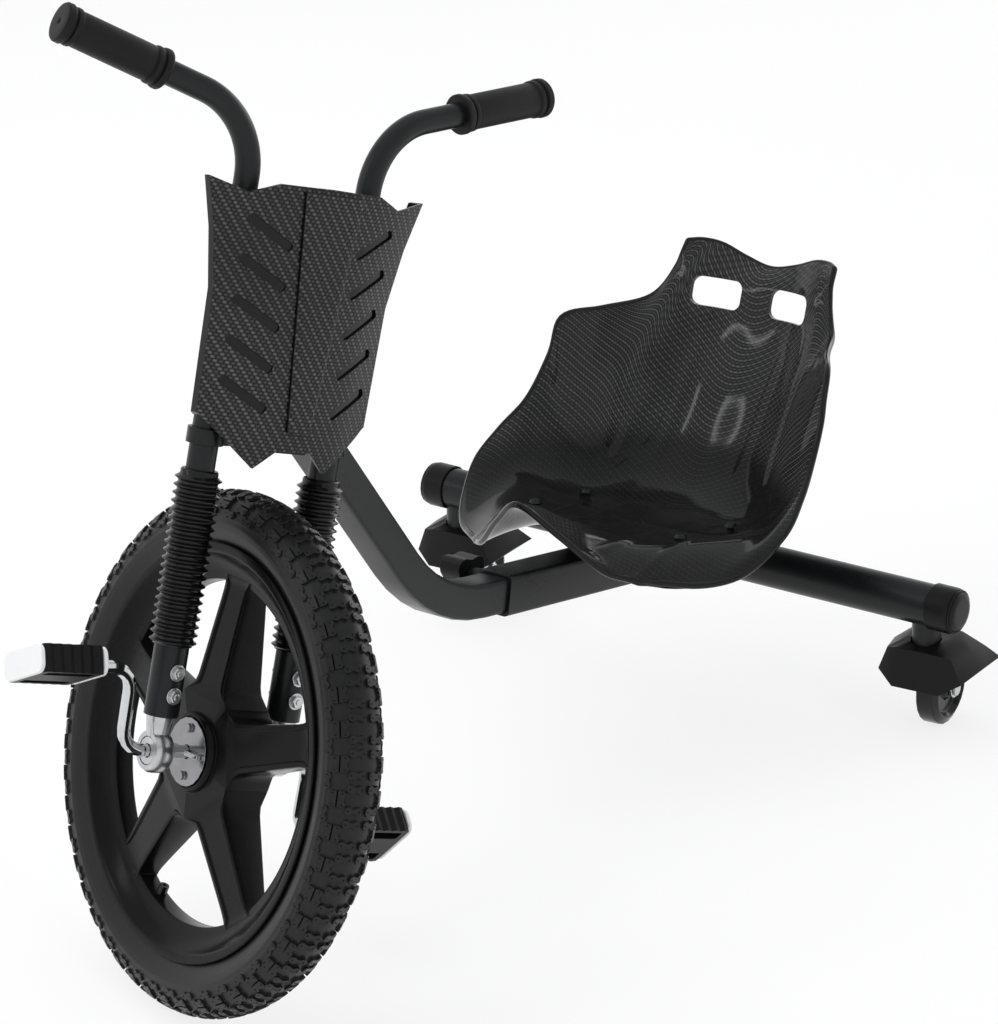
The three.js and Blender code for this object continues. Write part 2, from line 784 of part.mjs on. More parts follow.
function crownGeometry(bottom) {
  const leg = legSpacing / 2;
  const middle = bottom + crownThickness / 2;
  const armLength = Math.hypot(leg, forkOffset);
  const armTurn = Math.atan2(forkOffset, leg);
  const arm = (side) => placed(box(armLength, crownArmWidth, crownThickness),
    [(side * leg) / 2, forkOffset / 2, middle], [0, 0, -side * armTurn]);
  const boss = (x, y, radius) => placed(rod(radius, crownThickness, 'z', 18), [x, y, middle]);
  const tabReach = fairingNose * shieldDepthShares[1] - fairingWall - gap;
  const tab = placed(box(crownTabWidth, tabReach, crownTabHeight), [0, -tabReach / 2, middle]);
  const body = joined(boss(0, forkOffset, crownHubRadius), arm(-1), arm(1),
    boss(-leg, 0, crownBossRadius), boss(leg, 0, crownBossRadius),
    placed(box(crownTabWidth, forkOffset, crownThickness), [0, forkOffset / 2, middle]), tab);
  const bore = (x, y, radius) =>
    placed(rod(clear(radius, 16), crownThickness + overrun, 'z', 16), [x, y, middle]);
  return cut(body, bore(0, forkOffset, steererRadius),
    bore(-leg, 0, upperTubeRadius), bore(leg, 0, upperTubeRadius));
}

function steererNutGeometry() {
  const low = upperCrownBottom + crownThickness + gap;
  const nut = pipe(steererNutRadius, clear(steererRadius, 6), low, low + steererNutHeight, 'z', 6);
  return placed(nut, [0, forkOffset, 0]);
}

// A place on the handlebar's upper run, measured back from the grip's outer end
function barPlace(side, back) {
  const corner = new THREE.Vector3(legSpacing / 2, 0, barCornerHeight);
  const place = corner.sub(gripOuter).setLength(back).add(gripOuter);
  return place.setX(side * place.x);
}

function handlebarGeometry(side) {
  const corner = new THREE.Vector3((side * legSpacing) / 2, 0, barCornerHeight);
  const start = corner.clone().setZ(barBottom);
  const path = new BentPath([start, corner, barPlace(side, gripEnd + gap)], barBend, 6);
  return swept(circle(barRadius, barRadius - barWall), path, 5);
}

function gripGeometry() {
  const length = gripLength;
  const bore = clear(barRadius, gripSides);
  const profile = [[bore, 0], [gripFlangeRadius, 0], [gripFlangeRadius, gripFlange]];
  const body = length - 2 * gripFlange;
  const pitch = body / gripGrooves;
  for (let i = 0; i < gripGrooves; i += 1) {
    const foot = gripFlange + pitch * i;
    profile.push([gripRadius - gripGrooveDepth, foot + pitch * 0.1], [gripRadius, foot + pitch * 0.35]);
  }
  profile.push([gripFlangeRadius, length - gripFlange], [gripFlangeRadius, length], [0, length]);
  profile.push([0, length - gripEnd], [bore, length - gripEnd]);
  const points = profile.map(([radius, along]) => new THREE.Vector2(radius, along));
  points.push(points[0].clone());
  return new THREE.LatheGeometry(points, gripSides);
}

function buildGrip(group, side) {
  const grip = new THREE.Group();
  const inner = barPlace(side, gripLength);
  grip.position.copy(inner);
  const outwards = barPlace(side, 0).sub(inner).normalize();
  grip.quaternion.setFromUnitVectors(new THREE.Vector3(0, 1, 0), outwards);
  add(grip, mirrored('grip', side), gripGeometry(), 'softRubber');
  group.add(grip);
}

// Fairing: a wrapped shield in front of the crowns

// Half width of the shield at a height
function fairingHalf(height) {
  const share = height >= fairingWaistHeight
    ? (height - fairingWaistHeight) / (fairingTop - fairingWaistHeight)
    : (fairingWaistHeight - height) / (fairingWaistHeight - fairingBottom);
  const end = height >= fairingWaistHeight ? fairingTopHalf : fairingFootHalf;
  return fairingWaistHalf + (end - fairingWaistHalf) * share ** fairingFlarePower;
}

// Places across the shield as shares of its half width, and of its nose depth
const shieldAcrossShares = [0, 0.22, 0.47, 0.68, 0.86, 1];
const shieldDepthShares = [1, 0.975, 0.87, 0.71, 0.54, 0.38];

// The front face of the shield, set back by an inset, from the rider's right to the left
function shieldFace(height, inset) {
  const half = fairingHalf(height);
  const side = shieldAcrossShares.map((share, i) => {
    const lean = i / (shieldAcrossShares.length - 1);
    return [share * half - inset * lean, -shieldDepthShares[i] * fairingNose + inset * (1 - lean / 2)];
  });
  side.push([half * fairingSideTuckShare - inset, -fairingSideDepth]);
  return [...side.slice(1).reverse().map(([x, y]) => [-x, y]), ...side];
}

function shieldHeights(low, high, steps) {
  return Array.from({ length: steps + 1 }, (_, i) => low + ((high - low) * i) / steps);
}

// All of the space behind the front face, down to the open back
const shieldCore = (inset) => lofted(shieldHeights(fairingBottom, fairingTop, 5).map((height) =>
  shieldFace(height, inset).map(([x, y]) => new THREE.Vector3(x, y, height))));

const shieldPrism = (shape, depth = 4 * fairingNose) => slab(shape, depth, 1).rotateX(Math.PI / 2);

function louvreGeometry(side, number) {
  const shape = roundedRectangle(louvreLength, louvreHeight, louvreHeight / 3);
  return placed(shieldPrism(shape), [side * louvreCentre, 0, louvreFirst - number * louvrePitch],
    [0, -side * louvreTilt, 0]);
}

// The top and foot edges from the middle outwards: across as shares of the half widths there,
// down from the top as shares of the dip, and up from the bottom as shares of the rise
const topEdgeAcrossShares = [0, 0.454, 0.68, 0.99];
const topEdgeDipShares = [0.333, 0.4, 1, 0.467, 0.533];
const footEdgeAcrossShares = [0.197, 0.425, 1];
const footEdgeRiseShares = [0.458, 0.146, 0.875, 1];

// What lies beyond an edge, mirrored about the middle and closed well outside the shield
function trimPrism(acrossShares, half, heights, beyond) {
  const far = 2 * fairingTopHalf;
  const edge = acrossShares.map((share, i) => [share * half, heights[i]]);
  edge.push([far, heights.at(-1)], [far, beyond]);
  const mirror = edge.slice().reverse().map(([x, z]) => [-x, z]);
  return shieldPrism(outline([...mirror, ...edge].filter(([x], i) => x !== 0 || i >= mirror.length)));
}

function fairingGeometry() {
  const top = trimPrism(topEdgeAcrossShares, fairingTopHalf,
    topEdgeDipShares.map((share) => fairingTop - share * fairingTopDip), 2 * fairingTop);
  const foot = trimPrism(footEdgeAcrossShares, fairingFootHalf,
    footEdgeRiseShares.map((share) => fairingBottom + share * fairingFootRise), 0);
  const hollow = lofted(shieldHeights(fairingBottom - overrun, fairingTop + overrun, 5).map((height) =>
    shieldFace(height, fairingWall).map(([x, y], i, all) =>
      new THREE.Vector3(x, i === 0 || i === all.length - 1 ? y + overrun : y, height))));
  let shell = toSolid(shieldCore(0)).subtract(toSolid(hollow));
  shell = shell.subtract(toSolid(top)).subtract(toSolid(foot));
  const floor = toSolid(shieldCore(louvreDepth));
  bothSides.forEach((side) => {
    for (let number = 0; number < louvreCount; number += 1) {
      shell = shell.subtract(toSolid(louvreGeometry(side, number)).subtract(floor));
    }
  });
  return toGeometry(shell);
}

function spineGeometry() {
  const seat = -fairingNose * spineSeatShare;
  const rings = shieldHeights(spineFoot, spineTop, 5).map((height, i) => {
    const half = spineFootHalf + ((spineTopHalf - spineFootHalf) * i) / 5;
    const face = -fairingNose - gap + (half / fairingHalf(height)) * spineCurve;
    return [
      [-half, seat], [half, seat], [half, face - spineProud / 2], [half * spineFaceShare, face - spineProud],
      [-half * spineFaceShare, face - spineProud], [-half, face - spineProud / 2],
    ].map(([x, y]) => new THREE.Vector3(x, y, height));
  });
  return cut(lofted(rings), shieldCore(-gap));
}

function buildFork(group) {
  add(group, 'lower_crown', crownGeometry(lowerCrownBottom), 'satinSteel');
  add(group, 'upper_crown', crownGeometry(upperCrownBottom), 'satinSteel');
  const steerer = pipe(steererRadius, steererRadius - steererWall, lowerCrownBottom, steererTop, 'z', 16);
  add(group, 'steerer_tube', placed(steerer, [0, forkOffset, 0]), 'satinSteel');
  add(group, 'steerer_nut', steererNutGeometry(), 'zinc');
  add(group, 'fairing_shell', fairingGeometry(), 'carbon');
  add(group, 'fairing_spine', spineGeometry(), 'carbon');
  bothSides.forEach((side) => {
    const leg = new THREE.Group();
    leg.position.x = (side * legSpacing) / 2;
    const upper = pipe(upperTubeRadius, upperTubeRadius - upperTubeWall,
      upperTubeBottom, upperTubeTop, 'z', 16);
    add(leg, mirrored('upper_fork_tube', side), upper, 'satinSteel');
    add(leg, mirrored('fork_boot', side), bootGeometry(), 'softRubber');
    add(leg, mirrored('lower_leg', side), lowerLegGeometry(), 'satinSteel');
    add(leg, mirrored('axle_eye', side), axleEyeGeometry(), 'zinc');
    add(leg, mirrored('eye_bearing', side), eyeBearingGeometry(), 'zinc');
    add(leg, mirrored('fork_spring', side), springGeometry(), 'zinc');
    legBoltHeights.forEach((height, i) => {
      const name = mirrored(i === 0 ? 'upper_leg_bolt' : 'lower_leg_bolt', side);
      add(leg, name, placed(legBoltGeometry(), [0, 0, height]), 'zinc');
    });
    group.add(leg);
    add(group, mirrored('handlebar', side), handlebarGeometry(side), 'satinSteel');
    buildGrip(group, side);
  });
}

// Main frame

function cupGeometry(top) {
  const [face, inward] = top ? [headTubeTop, -1] : [headTubeBottom, 1];
  const outer = headTubeRadius;
  const insert = within(headTubeRadius - headTubeWall, 20);
  const bore = clear(steererRadius, 16);
  return revolved([
    [bore, face - inward * cupFlange], [outer, face - inward * cupFlange], [outer, face - inward * gap],
    [insert, face - inward * gap], [insert, face + inward * cupDepth], [bore, face + inward * cupDepth],
  ], 'z', 16);
}

function mainFrameGeometry(leanMatrix, axisFoot, axle) {
  const along = new THREE.Vector3(0, Math.sin(rakeAngle), Math.cos(rakeAngle));
  const head = axisFoot.clone().addScaledVector(along, mainTubeMeetsAxis);
  const [downSlope, rearSlope] = [Math.tan(downTubeAngle), Math.tan(sleeveAngle)];
  const cornerY = (head.z + downSlope * head.y - axle.z - rearSlope * axle.y) / (downSlope - rearSlope);
  const corner = new THREE.Vector3(0, cornerY, axle.z + rearSlope * (axle.y - cornerY));
  const rearwards = new THREE.Vector3(0, Math.cos(sleeveAngle), -Math.sin(sleeveAngle));
  const end = axle.clone().addScaledVector(rearwards, mainTubeInsert - sleeveLength);
  const tube = (side, radius, extra) => {
    const last = end.clone().addScaledVector(rearwards, extra);
    const path = new BentPath([head, corner, last], mainTubeBend, 6);
    return swept(roundedRectangle(side, side, radius), path, 1);
  };
  const inner = mainTubeSide - 2 * mainTubeWall;
  const headLength = headTubeTop - headTubeBottom;
  const headRod = (radius, length) => placed(rod(radius, length, 'z', 20),
    [0, 0, (headTubeTop + headTubeBottom) / 2]).applyMatrix4(leanMatrix);
  const solid = joined(tube(mainTubeSide, mainTubeCorner, 0), headRod(headTubeRadius, headLength));
  return cut(solid, tube(inner, mainTubeCorner - mainTubeWall, overrun),
    headRod(headTubeRadius - headTubeWall, headLength + overrun));
}

// Rear frame

function sleeveGeometry() {
  const inner = mainTubeSide + 2 * gap;
  const outer = placed(slab(roundedRectangle(sleeveSide, sleeveSide, mainTubeCorner), sleeveLength, 1),
    [0, -sleeveLength / 2, 0], [Math.PI / 2, 0, 0]);
  const bore = placed(slab(roundedRectangle(inner, inner, mainTubeCorner), 2 * sleeveLength, 1),
    [0, -sleeveLength, 0], [Math.PI / 2, 0, 0]);
  const bossPlace = knobPlace(sleeveSide / 2 + knobStandOff / 2 - gap);
  const boss = placed(rod(clampBossRadius, knobStandOff, 'x', 12), bossPlace);
  const screw = placed(rod(clear(clampScrewRadius, 10), sleeveSide, 'x', 10), knobPlace(sleeveSide / 2));
  const axle = rod(clear(axleTubeRadius, 20), 2 * sleeveSide, 'x', 20);
  return cut(joined(outer, boss), bore, screw, axle);
}

const knobPlace = (out) => [-out, -sleeveLength + knobBehindMouth, knobAbove];

function knobGeometry() {
  const shape = new THREE.Shape(Array.from({ length: 8 * knobLobes }, (_, i) => {
    const angle = (2 * Math.PI * i) / (8 * knobLobes);
    const share = (1 + knobWaistShare) / 2 + ((1 - knobWaistShare) / 2) * Math.cos(knobLobes * angle);
    return new THREE.Vector2(knobRadius * share * Math.cos(angle), knobRadius * share * Math.sin(angle));
  }));
  const face = sleeveSide / 2 + knobStandOff;
  const head = placed(slab(shape, knobThickness).rotateY(Math.PI / 2), knobPlace(face + knobThickness / 2));
  const tip = mainTubeSide / 2 + 2 * gap;
  const screw = placed(rod(clampScrewRadius, face - tip + overrun, 'x', 10),
    knobPlace((face + tip + overrun) / 2));
  return joined(head, screw);
}

function axleTubeGeometry() {
  const half = overallWidth / 2 - capEnd - gap;
  const tube = rod(axleTubeRadius, 2 * half, 'x', 20);
  const neckLength = axleHeight - neckBottom;
  const necks = bothSides.map((side) =>
    placed(rod(neckRadius, neckLength, 'z', 18), [side * trackHalf, 0, -neckLength / 2]));
  const sockets = bothSides.map((side) =>
    placed(rod(clear(casterStemRadius, 14), axleHeight, 'z', 14), [side * trackHalf, 0, -axleHeight / 2]));
  const bore = rod(axleTubeRadius - axleTubeWall, 2 * half + overrun, 'x', 20);
  return cut(joined(tube, ...necks), bore, ...sockets);
}

function capGeometry(side) {
  const end = overallWidth / 2;
  const bore = clear(axleTubeRadius, 20);
  const round = Array.from({ length: capRoundSteps + 1 }, (_, i) => {
    const turn = (i * Math.PI) / 2 / capRoundSteps;
    return [capRadius - capRound + capRound * Math.sin(turn), end - capRound + capRound * Math.cos(turn)];
  });
  const cap = revolved([
    [0, end], ...round, [capRadius, end - capLength],
    [bore, end - capLength], [bore, end - capEnd], [0, end - capEnd],
  ], 'x', 20);
  const neck = rod(clear(neckRadius, 18), axleHeight, 'z', 18);
  const tilt = side > 0 ? 0 : Math.PI;
  return cut(cap.rotateZ(tilt), placed(neck, [side * trackHalf, 0, -axleHeight / 2]));
}

function strapGeometry(ahead, low, high, holes) {
  const rise = [
    [-strapHalf, high], [-strapStep, high], [-strapFoot, low],
    [strapFoot, low], [strapStep, high], [strapHalf, high],
  ];
  const shape = outline([...rise, ...rise.slice().reverse().map(([x, z]) => [x, z - strapThickness])]);
  return cut(placed(slab(shape, strapWidth), [0, -ahead, 0], [Math.PI / 2, 0, 0]), ...holes);
}

// Seat: rows run from the front edge over the pan and up the back, columns from the middle to the rim

const seatAcrossShares = [
  [0, 0.2, 0.39, 0.465, 0.525],
  [0, 0.225, 0.475, 0.625, 0.74],
  [0, 0.245, 0.54, 0.75, 0.915],
  [0, 0.255, 0.55, 0.805, 1],
  [0, 0.26, 0.55, 0.805, 0.97],
  [0, 0.26, 0.54, 0.79, 0.915],
  [0, 0.26, 0.525, 0.765, 0.88],
  [0, 0.255, 0.495, 0.725, 0.85],
  [0, 0.255, 0.49, 0.64, 0.715],
  [0, 0.255, 0.465, 0.55, 0.585],
  [0, 0.24, 0.415, 0.475, 0.505],
  [0, 0.22, 0.375, 0.44, 0.484],
  [0, 0.16, 0.302, 0.4, 0.468],
];
const seatBackShares = [
  [0, 0.035, 0.08, 0.105, 0.135],
  [0.08, 0.09, 0.13, 0.17, 0.21],
  [0.18, 0.195, 0.22, 0.245, 0.3],
  [0.275, 0.29, 0.305, 0.335, 0.405],
  [0.375, 0.38, 0.385, 0.42, 0.485],
  [0.47, 0.47, 0.475, 0.51, 0.56],
  [0.57, 0.575, 0.565, 0.575, 0.625],
  [0.655, 0.655, 0.615, 0.635, 0.665],
  [0.72, 0.725, 0.69, 0.715, 0.755],
  [0.805, 0.81, 0.775, 0.815, 0.868],
  [0.905, 0.905, 0.88, 0.895, 0.915],
  [0.947, 0.945, 0.915, 0.925, 0.933],
  [1, 0.998, 0.989, 0.974, 0.951],
];
const seatUpShares = [
  [0.425, 0.29, 0.12, 0.07, 0.03],
  [0.345, 0.215, 0.08, 0.03, 0.015],
  [0.215, 0.16, 0.09, 0.035, 0.04],
  [0.13, 0.11, 0.1, 0.08, 0.175],
  [0.08, 0.075, 0.085, 0.12, 0.28],
  [0.025, 0.02, 0.03, 0.155, 0.38],
  [0.005, 0, 0.015, 0.25, 0.55],
  [0.05, 0.065, 0.06, 0.42, 0.73],
  [0.175, 0.195, 0.29, 0.555, 0.745],
  [0.4, 0.425, 0.525, 0.67, 0.758],
  [0.64, 0.66, 0.755, 0.83, 0.88],
  [0.847, 0.85, 0.875, 0.92, 0.949],
  [0.905, 0.935, 0.985, 1, 0.998],
];

// The seat's upper surface as a grid of points, row by row
function seatSurface() {
  const rows = seatAcrossShares.map((shares, row) => {
    const half = shares.map((share, column) => new THREE.Vector3(
      share * seatHalfWidth,
      seatBackShares[row][column] * seatLength,
      seatUpShares[row][column] * seatHeight));
    const mirror = half.slice(1).reverse().map((point) => new THREE.Vector3(-point.x, point.y, point.z));
    return new THREE.CatmullRomCurve3([...mirror, ...half]).getPoints(seatStepsAcross);
  });
  const columns = rows[0].map((_, column) =>
    new THREE.CatmullRomCurve3(rows.map((row) => row[column])).getPoints(seatStepsAlong));
  return Array.from({ length: seatStepsAlong + 1 }, (_, i) => columns.map((column) => column[i]));
}

function seatShellGeometry() {
  const grid = seatSurface();
  const across = seatStepsAcross + 1;
  const faces = [];
  for (let row = 0; row < seatStepsAlong; row += 1) {
    for (let i = 0; i < seatStepsAcross; i += 1) {
      const a = row * across + i;
      faces.push(a, a + 1, a + across + 1, a, a + across + 1, a + across);
    }
  }
  const top = new THREE.BufferGeometry();
  top.setAttribute('position', new THREE.Float32BufferAttribute(grid.flat().flatMap((p) => p.toArray()), 3));
  top.setIndex(faces);
  top.computeVertexNormals();
  const normals = top.getAttribute('normal');
  const under = grid.flat().map((point, i) => {
    const [row, column] = [Math.floor(i / across), i % across];
    const edge = row === 0 || row === seatStepsAlong || column === 0 || column === seatStepsAcross;
    const normal = new THREE.Vector3().fromBufferAttribute(normals, i);
    if (normal.z < 0 && normal.y > 0) normal.negate();
    return point.clone().addScaledVector(normal, -seatWall - (edge ? seatRimExtra : 0));
  });
  const count = grid.flat().length;
  const index = [...faces];
  for (let i = 0; i < faces.length; i += 3) {
    index.push(count + faces[i], count + faces[i + 2], count + faces[i + 1]);
  }
  const rim = [];
  for (let i = 0; i < seatStepsAcross; i += 1) rim.push(i);
  for (let row = 0; row < seatStepsAlong; row += 1) rim.push(row * across + seatStepsAcross);
  for (let i = seatStepsAcross; i > 0; i -= 1) rim.push(seatStepsAlong * across + i);
  for (let row = seatStepsAlong; row > 0; row -= 1) rim.push(row * across);
  rim.forEach((a, i) => {
    const b = rim[(i + 1) % rim.length];
    index.push(a, count + a, count + b, a, count + b, b);
  });
  const shell = new THREE.BufferGeometry();
  const all = [...grid.flat(), ...under].flatMap((point) => point.toArray());
  shell.setAttribute('position', new THREE.Float32BufferAttribute(all, 3));
  shell.setIndex(index);
  return shell;
}

function seatGeometry(holes) {
  const [across, back, up] = slotPlaceShares;
  const slot = (side) => placed(slab(roundedRectangle(slotLength, slotHeight, slotRadius), seatHeight / 2, 2),
    [side * across * seatHalfWidth, back * seatLength, up * seatHeight], [slotLean, 0, 0]);
  return cut(seatShellGeometry(), slot(-1), slot(1), ...holes);
}

function seatBoltGeometry(length) {
  return revolved([
    [0, -length], [seatBoltRadius, -length], [seatBoltRadius, 0], [seatBoltHeadRadius, 0],
    [seatBoltHeadRadius * 0.7, seatBoltHeadHeight], [0, seatBoltHeadHeight],
  ], 'z', 10);
}

// Height of the seat's upper surface above the seat's base at a place
function seatHeightAt(x, y) {
  const triangle = new THREE.Triangle();
  const grid = seatSurface();
  const ray = new THREE.Ray(new THREE.Vector3(x, y, seatHeight * 2), new THREE.Vector3(0, 0, -1));
  const hit = new THREE.Vector3();
  let lowest = Infinity;
  for (let row = 0; row < seatStepsAlong; row += 1) {
    for (let i = 0; i < seatStepsAcross; i += 1) {
      const [a, b, c, d] = [grid[row][i], grid[row][i + 1], grid[row + 1][i + 1], grid[row + 1][i]];
      [[a, b, c], [a, c, d]].forEach((corners) => {
        triangle.set(...corners);
        if (ray.intersectTriangle(...corners, false, hit)) lowest = Math.min(lowest, hit.z);
      });
    }
  }
  return lowest;
}

// Casters: local Y trails behind the stem, local Z is up from the floor

function casterForkGeometry() {
  const half = casterForkHalf + casterForkArm;
  const plate = placed(box(2 * half, 2 * neckRadius + casterForkArm, casterPlate),
    [0, casterForkArm, casterPlateTop - casterPlate / 2]);
  const arm = new THREE.Shape();
  const low = casterPlateTop - casterPlate;
  arm.moveTo(-neckRadius, low);
  arm.lineTo(neckRadius + 2 * casterForkArm, low);
  arm.lineTo(casterTrail + casterHubRadius, casterWheelRadius);
  arm.absarc(casterTrail, casterWheelRadius, casterHubRadius, 0, -Math.PI, true);
  const flat = slab(arm, casterForkArm, 5).rotateX(Math.PI / 2).rotateZ(Math.PI / 2);
  const place = casterForkHalf + casterForkArm / 2;
  const stemTop = axleHeight - axleTubeRadius - gap;
  const stem = placed(rod(casterStemRadius, stemTop - low, 'z', 14), [0, 0, (stemTop + low) / 2]);
  const eye = placed(rod(clear(casterAxleRadius, 12), 4 * half, 'x', 12),
    [0, casterTrail, casterWheelRadius]);
  return cut(joined(plate, placed(flat, [-place, 0, 0]), placed(flat, [place, 0, 0]), stem), eye);
}

// Ring of the caster cover from shares of its size, mirrored about the wheel's plane
const coverTopShares = [
  [0, 0.03, 0.955], [0.36, 0.03, 0.95], [0.62, 0.1, 0.91],
  [0.78, 0.5, 0.86], [0.76, 0.84, 0.84], [0, 0.88, 0.93],
];
const coverFootShares = [
  [0, 0, 0.545], [0.46, 0, 0.545], [0.81, 0.12, 0.654],
  [0.95, 0.55, 0.72], [1, 0.93, 0.72], [0, 1, 0.752],
];

function coverRing(shares, inset, drop) {
  const half = shares.map(([across, along, up]) => new THREE.Vector3(
    across * (coverHalfWidth - inset), -coverFront + inset + along * (coverLength - 2 * inset),
    up * casterCoverTop - drop));
  const mirror = half.slice(1, -1).reverse().map((point) => new THREE.Vector3(-point.x, point.y, point.z));
  return [...half, ...mirror];
}

function coverHull(inset, topDrop, footDrop) {
  const crown = coverTopShares.map(([across, along]) => [across * 0.55, 0.5 + (along - 0.5) * 0.55, 1]);
  return lofted([
    coverRing(coverFootShares, inset, footDrop),
    coverRing(coverTopShares, inset, topDrop),
    coverRing(crown, inset, topDrop),
  ]);
}

function casterCoverGeometry() {
  const hull = coverHull(0, 0, 0);
  const hollow = coverHull(casterCoverWall, casterCoverWall, 4 * overrun);
  const collar = placed(rod(clear(neckRadius + gap, 20), casterCoverTop, 'z', 20), [0, 0, casterCoverTop]);
  const padWidth = 2 * (casterForkHalf + casterForkArm);
  const padFoot = casterPlateTop + gap;
  const pad = placed(box(padWidth, 2 * neckRadius, casterCoverTop),
    [0, casterForkArm, padFoot + casterCoverTop / 2]);
  return cut(joined(cut(hull, hollow), common(hull, pad)), collar);
}

function casterWheelGeometry() {
  const [half, round] = [casterWheelWidth / 2, casterTreadDepth / 2];
  const side = casterWheelRadius - casterTreadDepth;
  const bore = clear(casterAxleRadius, 22);
  return revolved([
    [bore, -half], [casterHubRadius, -half], [casterHubRadius + round, -half / 2], [side - round, -half / 2],
    [side, -half], [casterWheelRadius, round - half], [casterWheelRadius, half - round], [side, half],
    [side - round, half / 2], [casterHubRadius + round, half / 2], [casterHubRadius, half], [bore, half],
  ], 'x', 22);
}

function casterAxleGeometry() {
  const half = casterForkHalf + casterForkArm + gap;
  const [headRadius, headFace] = [casterAxleRadius + casterAxleHead, half + casterAxleHead];
  return revolved([
    [0, -headFace], [headRadius, -headFace], [headRadius, -half], [casterAxleRadius, -half],
    [casterAxleRadius, half], [headRadius, half], [headRadius, headFace], [0, headFace],
  ], 'x', 12);
}

function buildCaster(group, side) {
  const caster = new THREE.Group();
  caster.position.set(side * trackHalf, 0, -axleHeight);
  caster.rotation.z = casterAngle;
  add(caster, mirrored('caster_fork', side), casterForkGeometry(), 'zinc');
  add(caster, mirrored('caster_cover', side), casterCoverGeometry(), 'plasticBlack');
  const centre = [0, casterTrail, casterWheelRadius];
  add(caster, mirrored('caster_wheel', side), placed(casterWheelGeometry(), centre), 'treadGrey');
  add(caster, mirrored('caster_axle', side), placed(casterAxleGeometry(), centre), 'zinc');
  group.add(caster);
}

// Assembly

const lean = new THREE.Group();
lean.rotation.x = -rakeAngle;
const steer = new THREE.Group();
steer.rotation.z = steerAngle;
const fork = new THREE.Group();
fork.position.y = -forkOffset;
steer.add(fork);
lean.add(steer);
trike.add(lean);

// The tyre's lowest point sets how high the steering axis stands
lean.updateMatrixWorld(true);
const standing = tyreGeometry().applyMatrix4(fork.matrixWorld);
standing.computeBoundingBox();
const axisFoot = new THREE.Vector3(0, -axisAhead, -standing.boundingBox.min.z);
lean.position.copy(axisFoot);
lean.updateMatrixWorld(true);

buildFork(fork);
buildFrontWheel(fork);
add(lean, 'lower_headset_cup', cupGeometry(false), 'satinSteel');
add(lean, 'upper_headset_cup', cupGeometry(true), 'satinSteel');

const axle = new THREE.Vector3(0, wheelbase - axisAhead, axleHeight);
add(trike, 'main_frame', mainFrameGeometry(lean.matrixWorld, axisFoot, axle), 'satinSteel');

const rear = new THREE.Group();
rear.position.copy(axle);
trike.add(rear);
add(rear, 'rear_axle_tube', axleTubeGeometry(), 'satinSteel');
bothSides.forEach((side) => {
  add(rear, mirrored('axle_cap', side), capGeometry(side), 'plasticBlack');
  buildCaster(rear, side);
});

const slope = new THREE.Group();
slope.rotation.x = -sleeveAngle;
rear.add(slope);
add(slope, 'rear_sleeve', sleeveGeometry(), 'satinSteel');
add(slope, 'clamp_knob', knobGeometry(), 'plasticBlack');

// The straps lift the seat's pan off the sleeve; each bolt head sits square on the pan
const seat = new THREE.Group();
seat.position.set(0, -seatAheadOfAxle, seatAboveAxle);
rear.add(seat);
const boltLength = 2 * seatWall + strapThickness + overrun;
const uprightAxis = new THREE.Vector3(1, 0, 0);
const seatSlope = (x, y) => {
  const rise = seatHeightAt(x, y + seatBoltHeadRadius) - seatHeightAt(x, y - seatBoltHeadRadius);
  return rise / (2 * seatBoltHeadRadius);
};
const boltRows = boltAheadOfAxle.map((ahead) => bothSides.map((side) => {
  const [x, y] = [side * boltAcross, seatAheadOfAxle - ahead];
  const tilt = Math.atan(seatSlope(x, y));
  const place = [x, y, seatHeightAt(x, y) + 4 * gap];
  const hole = placed(rod(clear(seatBoltRadius, 10), 2 * boltLength, 'z', 10), place, [tilt, 0, 0]);
  return { side, place, tilt, hole };
}));
add(seat, 'seat_shell', seatGeometry(boltRows.flat().map(({ hole }) => hole)), 'carbon');

// Lowest point of the pan's underside over a strap, seen square to the sleeve
function strapCeiling(ahead) {
  const samples = [-1, 0, 1].flatMap((step) => [strapStep, boltAcross, strapHalf].map((x) => {
    const y = seatAheadOfAxle - ahead + (step * strapWidth) / 2;
    const point = new THREE.Vector3(x, y, seatHeightAt(x, y)).add(seat.position);
    return point.applyAxisAngle(uprightAxis, sleeveAngle).z;
  }));
  return Math.min(...samples) - seatWall * 1.05 - 3 * gap;
}

boltRows.forEach((bolts, row) => {
  const front = row === 0;
  const holes = bolts.map(({ hole }) => hole.translate(...seat.position.toArray()).rotateX(sleeveAngle));
  const middle = new THREE.Vector3(...bolts[0].place).add(seat.position)
    .applyAxisAngle(uprightAxis, sleeveAngle);
  const low = sleeveSide / 2 + gap + strapThickness;
  const strap = strapGeometry(-middle.y, low, strapCeiling(boltAheadOfAxle[row]), holes);
  add(slope, front ? 'front_seat_strap' : 'rear_seat_strap', strap, 'satinSteel');
  bolts.forEach(({ side, place, tilt }) => {
    const name = mirrored(front ? 'front_seat_bolt' : 'rear_seat_bolt', side);
    add(seat, name, placed(seatBoltGeometry(boltLength), place, [tilt, 0, 0]), 'zinc');
  });
});

// The turned wheel and casters reach further to one side, so the midplane stands off the origin
trike.children.forEach((child) => child.position.add(new THREE.Vector3(midplaneOffset, frameOffset, 0)));

export default trike;
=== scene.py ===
import json
import math

import bmesh
import bpy
from mathutils import Matrix, Vector

